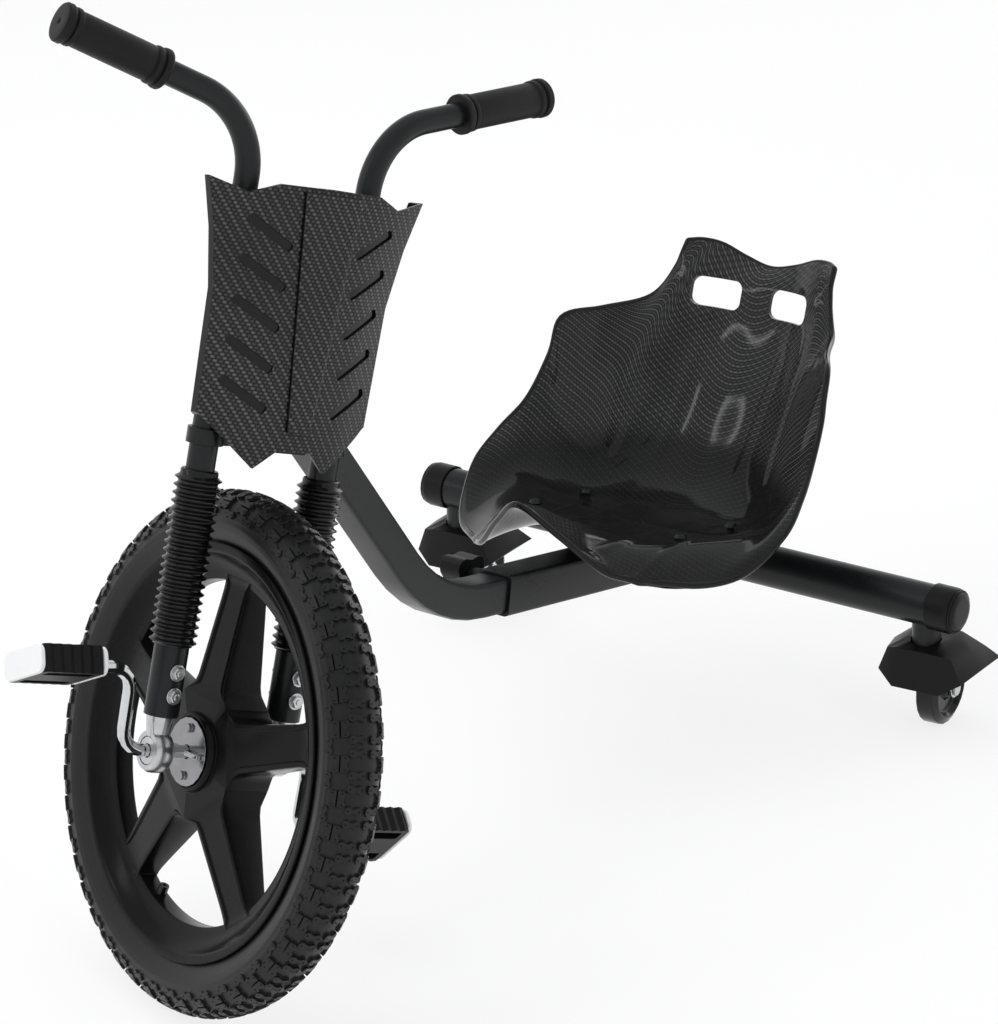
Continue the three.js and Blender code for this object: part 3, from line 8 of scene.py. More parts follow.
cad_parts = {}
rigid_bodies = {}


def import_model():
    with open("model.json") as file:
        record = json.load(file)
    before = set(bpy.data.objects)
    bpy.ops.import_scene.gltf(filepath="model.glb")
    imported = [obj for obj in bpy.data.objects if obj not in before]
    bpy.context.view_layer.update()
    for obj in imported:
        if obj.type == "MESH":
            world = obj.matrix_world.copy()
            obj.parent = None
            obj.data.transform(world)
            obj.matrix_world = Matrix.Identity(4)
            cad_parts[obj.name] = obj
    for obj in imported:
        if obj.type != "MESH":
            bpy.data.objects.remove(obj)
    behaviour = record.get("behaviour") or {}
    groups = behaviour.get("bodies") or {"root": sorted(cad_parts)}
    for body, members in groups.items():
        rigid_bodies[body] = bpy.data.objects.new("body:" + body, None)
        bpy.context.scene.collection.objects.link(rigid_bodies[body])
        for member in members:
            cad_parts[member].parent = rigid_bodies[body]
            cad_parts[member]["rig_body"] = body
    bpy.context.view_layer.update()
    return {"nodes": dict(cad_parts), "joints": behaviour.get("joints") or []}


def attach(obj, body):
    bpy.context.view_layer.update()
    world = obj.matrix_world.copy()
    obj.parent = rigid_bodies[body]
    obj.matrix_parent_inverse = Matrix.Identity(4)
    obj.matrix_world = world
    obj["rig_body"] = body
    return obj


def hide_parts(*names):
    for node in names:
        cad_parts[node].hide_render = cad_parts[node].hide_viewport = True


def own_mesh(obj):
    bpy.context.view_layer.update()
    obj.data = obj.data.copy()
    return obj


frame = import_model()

MM = 0.001
JOINTS = {joint["name"]: joint for joint in frame["joints"]}

# The turned fork's own axes: across it to the rider's left, up the steering axis, and back
HUB = Vector(JOINTS["wheel_spin"]["pos_m"])
ACROSS = Vector(JOINTS["wheel_spin"]["axis"]).normalized()
UP = Vector(JOINTS["steering_turn"]["axis"]).normalized()
BACK = UP.cross(ACROSS).normalized()
SIDES = {"left": 1, "right": -1}


def fork_point(across, back, up):
    return HUB + (ACROSS * across + BACK * back + UP * up) * MM


def add_object(name, data):
    made = bpy.data.objects.new(name, data)
    bpy.context.scene.collection.objects.link(made)
    return made


# Camera at the photograph's place
IMAGE_LONG_SIDE = 1024
FOCAL_PIXELS = 3981.6
CAMERA_AZIMUTH = math.radians(36.152)
CAMERA_ELEVATION = math.radians(22.215)
CAMERA_ROLL = math.radians(-1.485)
CAMERA_DISTANCE = 3.188
CAMERA_TARGET = Vector((0.0481, 0.0088, 0.2751))
SENSOR_WIDTH, CLIP_NEAR, CLIP_FAR = 36, 0.05, 50


def build_camera():
    camera = bpy.data.cameras.new("camera")
    camera.sensor_width = SENSOR_WIDTH
    camera.lens = FOCAL_PIXELS * SENSOR_WIDTH / IMAGE_LONG_SIDE
    camera.clip_start = CLIP_NEAR
    camera.clip_end = CLIP_FAR
    holder = add_object("camera", camera)
    a, e = CAMERA_AZIMUTH, CAMERA_ELEVATION
    back = Vector((math.sin(a) * math.cos(e), -math.cos(a) * math.cos(e), math.sin(e)))
    level = Vector((math.cos(a), math.sin(a), 0))
    upright = back.cross(level)
    right = level * math.cos(CAMERA_ROLL) + upright * math.sin(CAMERA_ROLL)
    top = upright * math.cos(CAMERA_ROLL) - level * math.sin(CAMERA_ROLL)
    turn = Matrix((right, top, back)).transposed().to_4x4()
    holder.matrix_world = Matrix.Translation(CAMERA_TARGET + back * CAMERA_DISTANCE) @ turn
    bpy.context.scene.camera = holder


build_camera()


# Materials

# The Mix node's colour sockets come after its number and vector ones
MIX_SOCKETS, MIX_RESULT = (0, 6, 7), 2
SPAN_SOCKETS = ("From Min", "From Max", "To Min", "To Max")
NOISE_LOW, NOISE_HIGH, NOISE_ROUGHNESS = 0.3, 0.7, 0.55


class Shader:
    """A material's node tree with short ways to add and join nodes."""

    def __init__(self, name):
        self.material = bpy.data.materials.new(name)
        self.material.use_nodes = True
        self.tree = self.material.node_tree
        self.tree.nodes.clear()
        self.out = self.node("ShaderNodeOutputMaterial")
        self.main = self.node("ShaderNodeBsdfPrincipled")
        self.link(self.main.outputs[0], self.out.inputs["Surface"])

    def node(self, kind, **settings):
        made = self.tree.nodes.new(kind)
        for key, value in settings.items():
            setattr(made, key, value)
        return made

    def link(self, source, target):
        self.tree.links.new(source, target)

    def feed(self, socket, value):
        if isinstance(value, bpy.types.NodeSocket):
            self.link(value, socket)
        else:
            socket.default_value = value

    def set(self, **values):
        for key, value in values.items():
            self.feed(self.main.inputs[key.replace("_", " ")], value)

    def math(self, operation, *values):
        made = self.node("ShaderNodeMath", operation=operation)
        for socket, value in zip(made.inputs, values):
            self.feed(socket, value)
        return made.outputs[0]

    def dot(self, place, direction):
        made = self.node("ShaderNodeVectorMath", operation="DOT_PRODUCT")
        self.feed(made.inputs[0], place)
        self.feed(made.inputs[1], tuple(direction))
        return made.outputs["Value"]

    def place(self):
        return self.node("ShaderNodeTexCoord").outputs["Object"]

    def noise(self, scale, detail):
        made = self.node("ShaderNodeTexNoise")
        made.inputs["Scale"].default_value = scale
        made.inputs["Detail"].default_value = detail
        made.inputs["Roughness"].default_value = NOISE_ROUGHNESS
        self.link(self.place(), made.inputs["Vector"])
        return made.outputs["Fac"]

    def remap(self, value, start, end, low, high, curve):
        made = self.node("ShaderNodeMapRange", interpolation_type=curve)
        self.feed(made.inputs["Value"], value)
        for socket, number in zip(SPAN_SOCKETS, (start, end, low, high)):
            made.inputs[socket].default_value = number
        return made.outputs["Result"]

    def ramp(self, noise, low, high):
        """The usual span of a noise, spread from low to high."""
        return self.remap(noise, NOISE_LOW, NOISE_HIGH, low, high, "LINEAR")

    def step(self, value, start, end, low, high):
        return self.remap(value, start, end, low, high, "SMOOTHSTEP")

    def mix(self, amount, first, second):
        made = self.node("ShaderNodeMix", data_type="RGBA")
        for number, value in zip(MIX_SOCKETS, (amount, first, second)):
            self.feed(made.inputs[number], value)
        return made.outputs[MIX_RESULT]

    def bump(self, height, strength, depth, normal):
        """A bump of a depth in millimetres, on top of a normal if there is one."""
        made = self.node("ShaderNodeBump")
        made.inputs["Strength"].default_value = strength
        made.inputs["Distance"].default_value = depth * MM
        self.link(height, made.inputs["Height"])
        if normal is not None:
            self.link(normal, made.inputs["Normal"])
        return made.outputs[0]

    def soft_edges(self, radius):
        made = self.node("ShaderNodeBevel", samples=4)
        made.inputs["Radius"].default_value = radius * MM
        return made.outputs[0]


def grey(level, warmth=0.0):
    return (level * (1 + warmth), level, level * (1 - warmth), 1)


def coated(name, dark, light, roughness, spread, grain, bump, edge=0.8, specular=0.5):
    """A moulded or painted surface: slight mottling, fine grain and softly worn roughness."""
    shader = Shader(name)
    broad = shader.noise(14, 4)
    shader.set(Base_Color=shader.mix(shader.ramp(broad, 0, 1), dark, light))
    shader.set(Roughness=shader.ramp(broad, roughness - spread, roughness + spread), Specular_IOR_Level=specular)
    rounded = shader.soft_edges(edge) if edge else None
    shader.set(Normal=shader.bump(shader.noise(grain, 3), bump, 0.4, rounded))
    return shader.material


def plated(name, colour, roughness, smear):
    """Bare plated metal: cloudy tint and roughness under a fine grain."""
    shader = Shader(name)
    cloud = shader.noise(60, 4)
    darker = tuple(0.82 * c for c in colour[:3]) + (1,)
    shader.set(Base_Color=shader.mix(shader.ramp(cloud, 0, 1), colour, darker))
    shader.set(Roughness=shader.ramp(cloud, roughness, roughness + smear), Metallic=1.0)
    shader.set(Normal=shader.bump(shader.noise(900, 2), 0.05, 0.2, shader.soft_edges(0.5)))
    return shader.material


KNURL_PITCH = 3.4


def knurled(name):
    """Grip rubber with fine crossing grooves."""
    shader = Shader(name)
    broad = shader.noise(14, 4)

    def groove(direction):
        turn = shader.math("MULTIPLY", shader.dot(shader.place(), direction), 2 * math.pi / (KNURL_PITCH * MM))
        return shader.math("POWER", shader.math("ABSOLUTE", shader.math("SINE", turn)), 0.5)

    height = shader.math("MINIMUM", groove(ACROSS + UP), groove(ACROSS - UP))
    shader.set(Base_Color=shader.mix(shader.ramp(broad, 0, 1), grey(0.0045), grey(0.008)))
    shader.set(Roughness=shader.ramp(broad, 0.42, 0.54), Specular_IOR_Level=0.22)
    shader.set(Normal=shader.bump(height, 0.35, 0.4, shader.soft_edges(0.5)))
    return shader.material


# The woven print: how far each row starts after the last one, in periods, the strength of its faint half, and
# how fast a lit spot fades along its row and across it, as long dashes or as round spots
ROW_SHIFT, FAINT = 0.25, 0.45
DASH_FADE, SPOT_FADE = (0.5, 1.5), (1.2, 0.9)


def woven(shader, across, along, period, row, dashes):
    """Rows of lit spots, every second spot or row of dashes faint; gives the light of each place, 0 to 1."""
    rows = shader.math("DIVIDE", along, row)
    number = shader.math("FLOOR", rows)
    turn = shader.math("ADD", shader.math("DIVIDE", across, period), shader.math("MULTIPLY", number, ROW_SHIFT))
    if dashes:
        first = shader.math("LESS_THAN", shader.math("FLOORED_MODULO", number, 2.0), 0.5)
    else:
        first = shader.math("LESS_THAN", shader.math("FRACT", turn), 0.5)

    def wave(share, fade):
        half_turn = shader.math("MULTIPLY", shader.math("FRACT", share), math.pi)
        return shader.math("POWER", shader.math("SINE", half_turn), fade)

    fade_along, fade_across = DASH_FADE if dashes else SPOT_FADE
    spot = shader.math("MULTIPLY", wave(shader.math("MULTIPLY", turn, 2.0), fade_along), wave(rows, fade_across))
    strength = shader.math("ADD", shader.math("MULTIPLY", first, 1 - FAINT), FAINT)
    return shader.math("MULTIPLY", spot, strength)


def carbon(name, across, along, period, row, dashes, bright, roughness, specular, mask):
    """Printed weave under gloss; across and along give a place in the unit of the period and the row."""
    shader = Shader(name)
    patches = shader.noise(9, 3)
    light = woven(shader, across(shader), along(shader), period, row, dashes)
    light = shader.math("MULTIPLY", light, shader.ramp(patches, 0.7, 1.1))
    light = shader.math("MULTIPLY", light, mask(shader))
    shader.set(Base_Color=shader.mix(light, grey(0.0035), grey(bright)))
    shader.set(Roughness=shader.ramp(patches, roughness, roughness + 0.04), Specular_IOR_Level=specular)
    shader.set(Normal=shader.bump(light, 0.06, 0.2, shader.soft_edges(0.8)))
    return shader.material


def along_axis(axis):
    return lambda shader: shader.dot(shader.place(), axis)


def flat_axis(index):
    """One of the seat's flattened directions, in millimetres."""
    def read(shader):
        split = shader.node("ShaderNodeSeparateXYZ")
        shader.link(shader.node("ShaderNodeUVMap", uv_map="millimetres").outputs[0], split.inputs[0])
        return split.outputs[index]
    return read


# Where the weave fades: by how far a face of the fairing looks sideways, and by height in mm on the seat
SIDE_LOOK, FRONT_LOOK = 0.86, 0.74
PAN_HEIGHT, PAN_FADE, PAN_SHARE = 196, 24, 0.16


def on_the_front(shader):
    """The weave's share by the way a face looks: none on the fairing's side walls."""
    looks = shader.node("ShaderNodeTexCoord").outputs["Normal"]
    return shader.step(shader.math("ABSOLUTE", shader.dot(looks, ACROSS)), SIDE_LOOK, FRONT_LOOK, 0.0, 1.0)


def above_the_pan(shader):
    """The weave's share by height: strong on the seat's back and wings, faint on its glossy pan."""
    height = shader.dot(shader.place(), (0, 0, 1))
    return shader.step(height, PAN_HEIGHT * MM, (PAN_HEIGHT + PAN_FADE) * MM, PAN_SHARE, 1.0)


# Darkest and lightest colour, roughness and its spread, grain's scale and strength
MATERIALS = {
    "steel": coated("satin_black_steel", grey(0.007, -0.08), grey(0.0105, -0.08), 0.3, 0.05, 1800, 0.08,
                    specular=0.28),
    "plastic": coated("gloss_black_plastic", grey(0.0028), grey(0.0045), 0.24, 0.05, 900, 0.05, specular=0.13),
    "moulding": coated("moulded_black_plastic", grey(0.0035), grey(0.006), 0.36, 0.06, 1400, 0.12, specular=0.18),
    "white": coated("white_plastic", grey(0.76), grey(0.82), 0.34, 0.05, 700, 0.06),
    "tyre": coated("tyre_rubber", grey(0.0055), grey(0.0095), 0.35, 0.06, 1600, 0.22, edge=0.6, specular=0.3),
    # Near-black matte discs on the tread blocks: painted shade standing for the pin holes
    "pin": coated("tyre_pin_painted_shade", grey(0.001), grey(0.0018), 0.7, 0.05, 1600, 0.1, edge=0, specular=0.05),
    "boot": coated("boot_rubber", grey(0.003), grey(0.005), 0.24, 0.05, 700, 0.08, edge=0, specular=0.32),
    "tread": coated("caster_tread", grey(0.006), grey(0.01), 0.2, 0.05, 900, 0.06, specular=0.3),
    # Dark gloss: the seat's rolled rim in its own black, and in the fairing's louvres painted shade in place of the
    # weave
    "louvre": coated("gloss_and_louvre_shade", grey(0.002), grey(0.0035), 0.14, 0.03, 900, 0.04, edge=0.4, specular=0.3),
    # Near-black with almost no reflection: painted shade on the fairing's side walls
    "wall": coated("fairing_side_painted_shade", grey(0.0025), grey(0.004), 0.4, 0.05, 900, 0.06, specular=0.06),
    "zinc": plated("zinc_plate", (0.6, 0.61, 0.62, 1), 0.22, 0.12),
    "chrome": plated("bright_chrome", (0.66, 0.67, 0.68, 1), 0.05, 0.05),
    # The hub plates' chrome, its colour darkened to 0.3 from bright chrome's 0.66: painted shade for their dark
    # reflections
    "plate": plated("chrome_with_painted_shade", (0.3, 0.3, 0.31, 1), 0.1, 0.1),
    "grip": knurled("grip_rubber"),
    "fork_carbon": carbon("woven_fairing", along_axis(ACROSS), along_axis(UP), 8 * MM, 2.7 * MM, False,
                          0.12, 0.22, 0.2, on_the_front),
    "seat_carbon": carbon("woven_seat", flat_axis(0), flat_axis(1), 9.4, 2.95, True,
                          0.08, 0.08, 0.22, above_the_pan),
}


# Mesh helpers

# Degrees between faces: from where an edge stays sharp or gets a bevel, and up to where it goes; joining gap in mm
SHARP_ANGLE, BEVEL_ANGLE, FLAT_ANGLE, MERGE_GAP = 35, 40, 0.6, 0.02


def finish_mesh(name, mesh, finish, sharp=SHARP_ANGLE):
    mesh.shade_smooth()
    mesh.set_sharp_from_angle(angle=math.radians(sharp))
    mesh.materials.clear()
    mesh.materials.append(MATERIALS[finish])
    return add_object(name, mesh)


def settle(piece, body, finish, *nodes):
    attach(piece, body)
    if nodes:
        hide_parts(*nodes)
    return piece


def new_mesh(name, points, faces):
    mesh = bpy.data.meshes.new(name)
    mesh.from_pydata([tuple(p) for p in points], [], faces)
    return mesh


def face_outwards(mesh):
    work = bmesh.new()
    work.from_mesh(mesh)
    bmesh.ops.recalc_face_normals(work, faces=work.faces)
    work.to_mesh(mesh)
    work.free()


def make(name, points, faces, finish, body, *nodes, sharp=SHARP_ANGLE):
    mesh = new_mesh(name, points, faces)
    mesh.validate()
    face_outwards(mesh)
    return settle(finish_mesh(name, mesh, finish, sharp), body, finish, *nodes)


def refined(node, finish, bevel):
    """The CAD form again with joined faces, rounded edges and smooth shading."""
    mesh = frame["nodes"][node].data.copy()
    mesh.name = node + "_finish"
    work = bmesh.new()
    work.from_mesh(mesh)
    bmesh.ops.remove_doubles(work, verts=work.verts, dist=MERGE_GAP * MM)
    bmesh.ops.dissolve_limit(work, angle_limit=math.radians(FLAT_ANGLE), verts=work.verts, edges=work.edges)
    work.to_mesh(mesh)
    work.free()
    for layer in list(mesh.attributes):
        if layer.name == "custom_normal":
            mesh.attributes.remove(layer)
    piece = finish_mesh(node + "_finish", mesh, finish)
    soften = piece.modifiers.new("rounded edges", "BEVEL")
    soften.width = bevel * MM
    soften.segments = 2
    soften.limit_method = "ANGLE"
    soften.angle_limit = math.radians(BEVEL_ANGLE)
    soften.harden_normals = False
    flatten = piece.modifiers.new("flat faces", "WEIGHTED_NORMAL")
    flatten.keep_sharp = True
    return settle(piece, frame["nodes"][node]["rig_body"], finish, node)


def ring_faces(rings, sides, closed=False):
    """Faces between rings of points, and over both ends unless the rings close on themselves."""
    faces = []
    for row in range(rings if closed else rings - 1):
        below, above = row * sides, (row + 1) % rings * sides
        for i in range(sides):
            j = (i + 1) % sides
            faces.append((below + i, below + j, above + j, above + i))
    if not closed:
        last = (rings - 1) * sides
        faces.append(tuple(range(sides))[::-1])
        faces.append(tuple(range(last, last + sides)))
    return faces


def turned_profile(origin, axis, out, profile, sides, closed=False):
    """Points and faces of a profile of [radius, place along axis] turned round an axis, in millimetres."""
    other = axis.cross(out)
    points = []
    for radius, along in profile:
        for i in range(sides):
            angle = 2 * math.pi * i / sides
            ray = out * math.cos(angle) + other * math.sin(angle)
            points.append(origin + (axis * along + ray * radius) * MM)
    return points, ring_faces(len(profile), sides, closed)


def add_part(points, faces, more_points, more_faces):
    """Adds a part's points and faces to the lists of a mesh."""
    faces += [tuple(i + len(points) for i in face) for face in more_faces]
    points += more_points


def circle(centre, first, second, radius, sides):
    """Points round a centre, in the plane of two directions; the radius is in millimetres."""
    turns = [2 * math.pi * k / sides for k in range(sides)]
    return [centre + (first * math.cos(turn) + second * math.sin(turn)) * radius * MM for turn in turns]


def tangents(path):
    """The way that an open path runs at each of its points."""
    return [(path[min(i + 1, len(path) - 1)] - path[max(i - 1, 0)]).normalized() for i in range(len(path))]


def coil(name, path, wire, sides, finish, body, node):
    """One unbroken wire along a path of points that winds up the fork."""
    points = []
    for place, tangent in zip(path, tangents(path)):
        first = tangent.cross(UP).normalized()
        points += circle(place, first, tangent.cross(first), wire, sides)
    return make(name, points, ring_faces(len(path), sides), finish, body, node, sharp=60)


def tube(name, path, radius, sides, finish, body, *nodes):
    """A round bar along a path of points, with its sides carried round each bend without a twist."""
    points = []
    side = None
    for place, tangent in zip(path, tangents(path)):
        side = tangent.orthogonal() if side is None else side - tangent * side.dot(tangent)
        side.normalize()
        points += circle(place, side, tangent.cross(side), radius, sides)
    return make(name, points, ring_faces(len(path), sides), finish, body, *nodes, sharp=50)


def loop_tube(name, path, radius, sides, finish, body):
    """A round bead along a closed path, its last ring joined to its first after the sides have turned."""
    points, faces = [], []
    count = len(path)
    side = (path[1] - path[-1]).orthogonal()
    for i, place in enumerate(path):
        tangent = (path[(i + 1) % count] - path[i - 1]).normalized()
        side = (side - tangent * side.dot(tangent)).normalized()
        points += circle(place, side, tangent.cross(side), radius, sides)
    first = points[0] - path[0]
    tangent = (path[1] - path[-1]).normalized()
    side = (side - tangent * side.dot(tangent)).normalized()
    turned = math.atan2(side.cross(first).dot(tangent), side.dot(first))
    shift = round(-turned * sides / (2 * math.pi))
    for i in range(count):
        ahead = (i + 1) % count * sides
        slip = shift if i == count - 1 else 0
        for k in range(sides):
            j = (k + 1) % sides
            faces.append((i * sides + k, i * sides + j, ahead + (j + slip) % sides, ahead + (k + slip) % sides))
    return make(name, points, faces, finish, body, sharp=60)


def bent(start, corner, end, bend, steps):
    """Points of a path with one rounded bend."""
    before, after = (corner - start).normalized(), (end - corner).normalized()
    turn = before.angle(after)
    first = corner - before * bend * math.tan(turn / 2)
    axis = before.cross(after).normalized()
    centre = first + axis.cross(before) * bend
    path = [start + (first - start) * k / 3 for k in range(3)]
    for k in range(steps + 1):
        path.append(centre + Matrix.Rotation(turn * k / steps, 3, axis) @ (first - centre))
    return path + [end]


# Fork boots and springs; from here to the louvres every measure is in millimetres

LEG = 54.1
BOOT_BOTTOM, BOOT_TOP, BOOT_COLLAR, BOOT_RIBS = 80.9, 212.8, 4, 21
BOOT_ROOT, BOOT_TIP, BOOT_BORE, TOP_BORE, BOOT_SIDES = 14.8, 17.8, 13.75, 11.4, 40
COLLAR_INSET, COLLAR_EDGE, COLLAR_TAPER, BORE_FOLD = 0.6, 1.2, 0.8, 0.5
# Each rib's outline: share of its pitch, share of its height
BOOT_RIB = ((0.12, 0.04), (0.3, 0.45), (0.42, 0.9), (0.5, 1), (0.58, 0.9), (0.7, 0.45), (0.88, 0.04))
SPRING_BOTTOM, SPRING_TOP, SPRING_TURNS, SPRING_RADIUS, SPRING_WIRE = 77.5, 133.5, 7, 8.4, 1.2
STEPS_PER_TURN = 24


def boot_profile():
    pitch = (BOOT_TOP - BOOT_COLLAR - BOOT_BOTTOM) / BOOT_RIBS
    profile = [(BOOT_BORE, BOOT_BOTTOM), (BOOT_ROOT, BOOT_BOTTOM)]
    for rib in range(BOOT_RIBS):
        foot = BOOT_BOTTOM + pitch * rib
        for share, height in BOOT_RIB:
            profile.append((BOOT_ROOT + (BOOT_TIP - BOOT_ROOT) * height, foot + pitch * share))
    collar = BOOT_ROOT - COLLAR_INSET
    profile += [(collar, BOOT_TOP - BOOT_COLLAR), (collar, BOOT_TOP - COLLAR_EDGE)]
    profile += [(collar - COLLAR_TAPER, BOOT_TOP), (TOP_BORE, BOOT_TOP), (TOP_BORE, BOOT_TOP - BOOT_COLLAR)]
    for rib in range(BOOT_RIBS - 1, 0, -1):
        foot = BOOT_BOTTOM + pitch * rib
        profile += [(BOOT_BORE + BORE_FOLD, foot + pitch / 2), (BOOT_BORE, foot)]
    return profile


def spring_path(foot):
    path = []
    steps = SPRING_TURNS * STEPS_PER_TURN
    for i in range(steps + 1):
        angle = 2 * math.pi * i / STEPS_PER_TURN
        ray = ACROSS * math.cos(angle) + BACK * math.sin(angle)
        height = SPRING_BOTTOM + (SPRING_TOP - SPRING_BOTTOM) * i / steps
        path.append(foot + (UP * height + ray * SPRING_RADIUS) * MM)
    return path


for side, sign in SIDES.items():
    foot = fork_point(sign * LEG, 0, 0)
    boot = make(f"fork_boot_{side}_ribbed",
                *turned_profile(foot, UP, ACROSS, boot_profile(), BOOT_SIDES, closed=True),
                "boot", "fork_lower", f"fork_boot_{side}", sharp=70)
    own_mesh(boot)
    spring = coil(f"fork_spring_{side}_wire", spring_path(foot), SPRING_WIRE, 10, "zinc", "fork_lower",
                  f"fork_spring_{side}")
    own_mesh(spring)


# Handlebars, grips and leg bolts

BAR_RADIUS, BAR_BOTTOM, BAR_CORNER, BAR_BEND = 9.5, 345.0, 476.5, 60.0
GRIP_OUTER, GRIP_END = Vector((215.9, 22, 520.1)), 5.1
GRIP_PROFILE = [
    (1.3, 1.6), (2.6, 0.5), (11.8, 0), (14, 0.5), (15.1, 1.9), (15.3, 5.6), (14.7, 6.6), (13.2, 7), (13.1, 8.6),
    (14.4, 9.2), (14.7, 10.4), (14.5, 12.6), (13.5, 13.4), (13.3, 14.6), (13.6, 16), (13.6, 74), (13.3, 75.6),
    (13.1, 76.6), (14.5, 77.4), (14.7, 79.2), (14.5, 80.8), (13.2, 81.5), (13.2, 82.6), (15.2, 83.4), (15.6, 85),
    (15.5, 87.6), (14.6, 88.8), (9.8, 88.8),
]
BOLT_HEIGHTS = {"upper": 62.0, "lower": 44.4}
BOLT_FACE, WASHER_RADIUS, WASHER, NUT_RADIUS, NUT, STUB_RADIUS = 13.35, 6.4, 1.1, 5.1, 3.2, 2.4


def local(place):
    return fork_point(place.x, place.y, place.z)


def leg_bolt(side, sign, row, height):
    centre = fork_point(sign * LEG, 0, height)
    nut_foot, top = BOLT_FACE + WASHER, BOLT_FACE + WASHER + NUT
    washer = [(WASHER_RADIUS - 0.4, BOLT_FACE - 0.3), (WASHER_RADIUS, BOLT_FACE + 0.3),
              (WASHER_RADIUS, nut_foot - 0.3), (WASHER_RADIUS - 0.4, nut_foot)]
    nut = [(NUT_RADIUS, nut_foot), (NUT_RADIUS, top - 0.8), (NUT_RADIUS - 0.7, top)]
    stub = [(STUB_RADIUS, top - 0.2), (STUB_RADIUS, top + 0.4), (STUB_RADIUS - 0.5, top + 0.8)]
    points, faces = [], []
    for way in (1, -1):
        for profile, sides in ((washer, 24), (nut, 6), (stub, 16)):
            add_part(points, faces, *turned_profile(centre, BACK * way, ACROSS, profile, sides))
    make(f"{row}_leg_bolt_{side}_nuts", points, faces, "zinc", "fork_lower", f"{row}_leg_bolt_{side}", sharp=30)


for side, sign in SIDES.items():
    outer = Vector((sign * GRIP_OUTER.x, GRIP_OUTER.y, GRIP_OUTER.z))
    start, corner = Vector((sign * LEG, 0, BAR_BOTTOM)), Vector((sign * LEG, 0, BAR_CORNER))
    inward = (corner - outer).normalized()
    bar = bent(start, corner, outer + inward * GRIP_END, BAR_BEND, 20)
    tube(f"handlebar_{side}_smooth", [local(p) for p in bar], BAR_RADIUS, 32, "steel", "steering",
         f"handlebar_{side}")
    axis = (local(corner) - local(outer)).normalized()
    make(f"grip_{side}_moulded", *turned_profile(local(outer), axis, axis.orthogonal().normalized(),
                                                 GRIP_PROFILE, 48), "grip", "steering", f"grip_{side}", sharp=32)
    for row, height in BOLT_HEIGHTS.items():
        leg_bolt(side, sign, row, height)


# Tyre: a smooth carcass and a block tread

TYRE_RADIUS, LUG, TYRE_HALF, BEAD, FLANGE = 200.0, 4.0, 23.0, 152.4, 158.0
BEAD_HALF, TYRE_WALL, LIP_HEIGHT, LIP_WIDTH = 15.6, 4.5, 0.4, 1.5
CARCASS_MIDDLE, CARCASS_HEIGHT = (TYRE_RADIUS - LUG + BEAD) / 2, (TYRE_RADIUS - LUG - BEAD) / 2
CARCASS_HALF, CARCASS_END, CARCASS_TURN, CARCASS_STEPS = TYRE_HALF * 0.97, 106, 4, 252
# Raised bands round the side wall: their angles round the section and their width in degrees
BANDS, BAND_LIFT, BAND_WIDTH = (66, 78, 92), 0.55, 2.6

TREAD_PITCHES = 48
# Millimetres of tread for one radian round the section
TREAD_SPREAD = 24.5


def wheel_place(angle, radius, along):
    ray = BACK * math.cos(angle) + UP * math.sin(angle)
    return HUB + (ACROSS * along + ray * radius) * MM


def section_place(turn):
    """Carcass surface at an angle round its section: [place across, radius] and the way out."""
    place = Vector((CARCASS_HALF * math.sin(turn), CARCASS_MIDDLE + CARCASS_HEIGHT * math.cos(turn)))
    return place, Vector((math.sin(turn) * CARCASS_HEIGHT, math.cos(turn) * TYRE_HALF)).normalized()


def carcass():
    ring = []
    for degrees in range(-CARCASS_END, CARCASS_END + 1, CARCASS_TURN):
        place, out = section_place(math.radians(degrees))
        place += out * sum(BAND_LIFT * math.exp(-((abs(degrees) - band) / BAND_WIDTH) ** 2) for band in BANDS)
        ring.append((place.y, place.x))
    lip, outer, inner = FLANGE + LIP_HEIGHT, BEAD_HALF + LIP_WIDTH, BEAD_HALF - TYRE_WALL
    ring += [(lip, outer), (lip, BEAD_HALF), (BEAD, BEAD_HALF), (BEAD, inner), (FLANGE, inner)]
    for degrees in (70, 35, 0, -35, -70):
        turn = math.radians(degrees)
        ring.append((CARCASS_MIDDLE + (CARCASS_HEIGHT - TYRE_WALL) * math.cos(turn),
                     (TYRE_HALF - TYRE_WALL) * math.sin(turn)))
    return ring + [(FLANGE, -inner), (BEAD, -inner), (BEAD, -BEAD_HALF), (lip, -BEAD_HALF), (lip, -outer)]


def tread_place(arc, across, lift):
    """A place on the tread, in mm: arc along the wheel, across it over the crown, and out from it."""
    place, out = section_place(across / TREAD_SPREAD)
    place += out * lift
    return wheel_place(arc / TYRE_RADIUS, place.y, place.x)


# Block outlines in millimetres about their own middle: two lobes and a waist, whole and halved lengthwise
LOBED_BLOCK = [(-6.4, -1.7), (-4.9, -3.3), (-2.7, -3.3), (-1.2, -2.1), (1.2, -2.1), (2.7, -3.3), (4.9, -3.3),
               (6.4, -1.7), (6.4, 1.7), (4.9, 3.3), (2.7, 3.3), (1.2, 2.1), (-1.2, 2.1), (-2.7, 3.3), (-4.9, 3.3),
               (-6.4, 1.7)]
HALF_BLOCK = [(-6.4, -3.3), (6.4, -3.3), (6.4, 1.5), (4.9, 3.1), (2.7, 3.1), (1.2, 1.7), (-1.2, 1.7),
              (-2.7, 3.1), (-4.9, 3.1), (-6.4, 1.5)]
MIRRORED_HALF = [(long, -short) for long, short in HALF_BLOCK]
TREAD_LIFT, SHOULDER_DROP, BLOCK_ROOT, BLOCK_EDGE, BLOCK_TOP_SHARE = 2.4, 0.5, -1.2, 0.45, 0.93
PIN_PLACE, PIN_RADIUS, PIN_SIDES, PIN_ROOT, PIN_PROUD = 4.4, 0.62, 6, 0.3, 0.04
PAIR_SPREAD, PAIR_ACROSS, HALVES_ACROSS, HALVES_GAP, SINGLE_ACROSS = 5.1, 8.1, 21.4, 3.75, 31.0


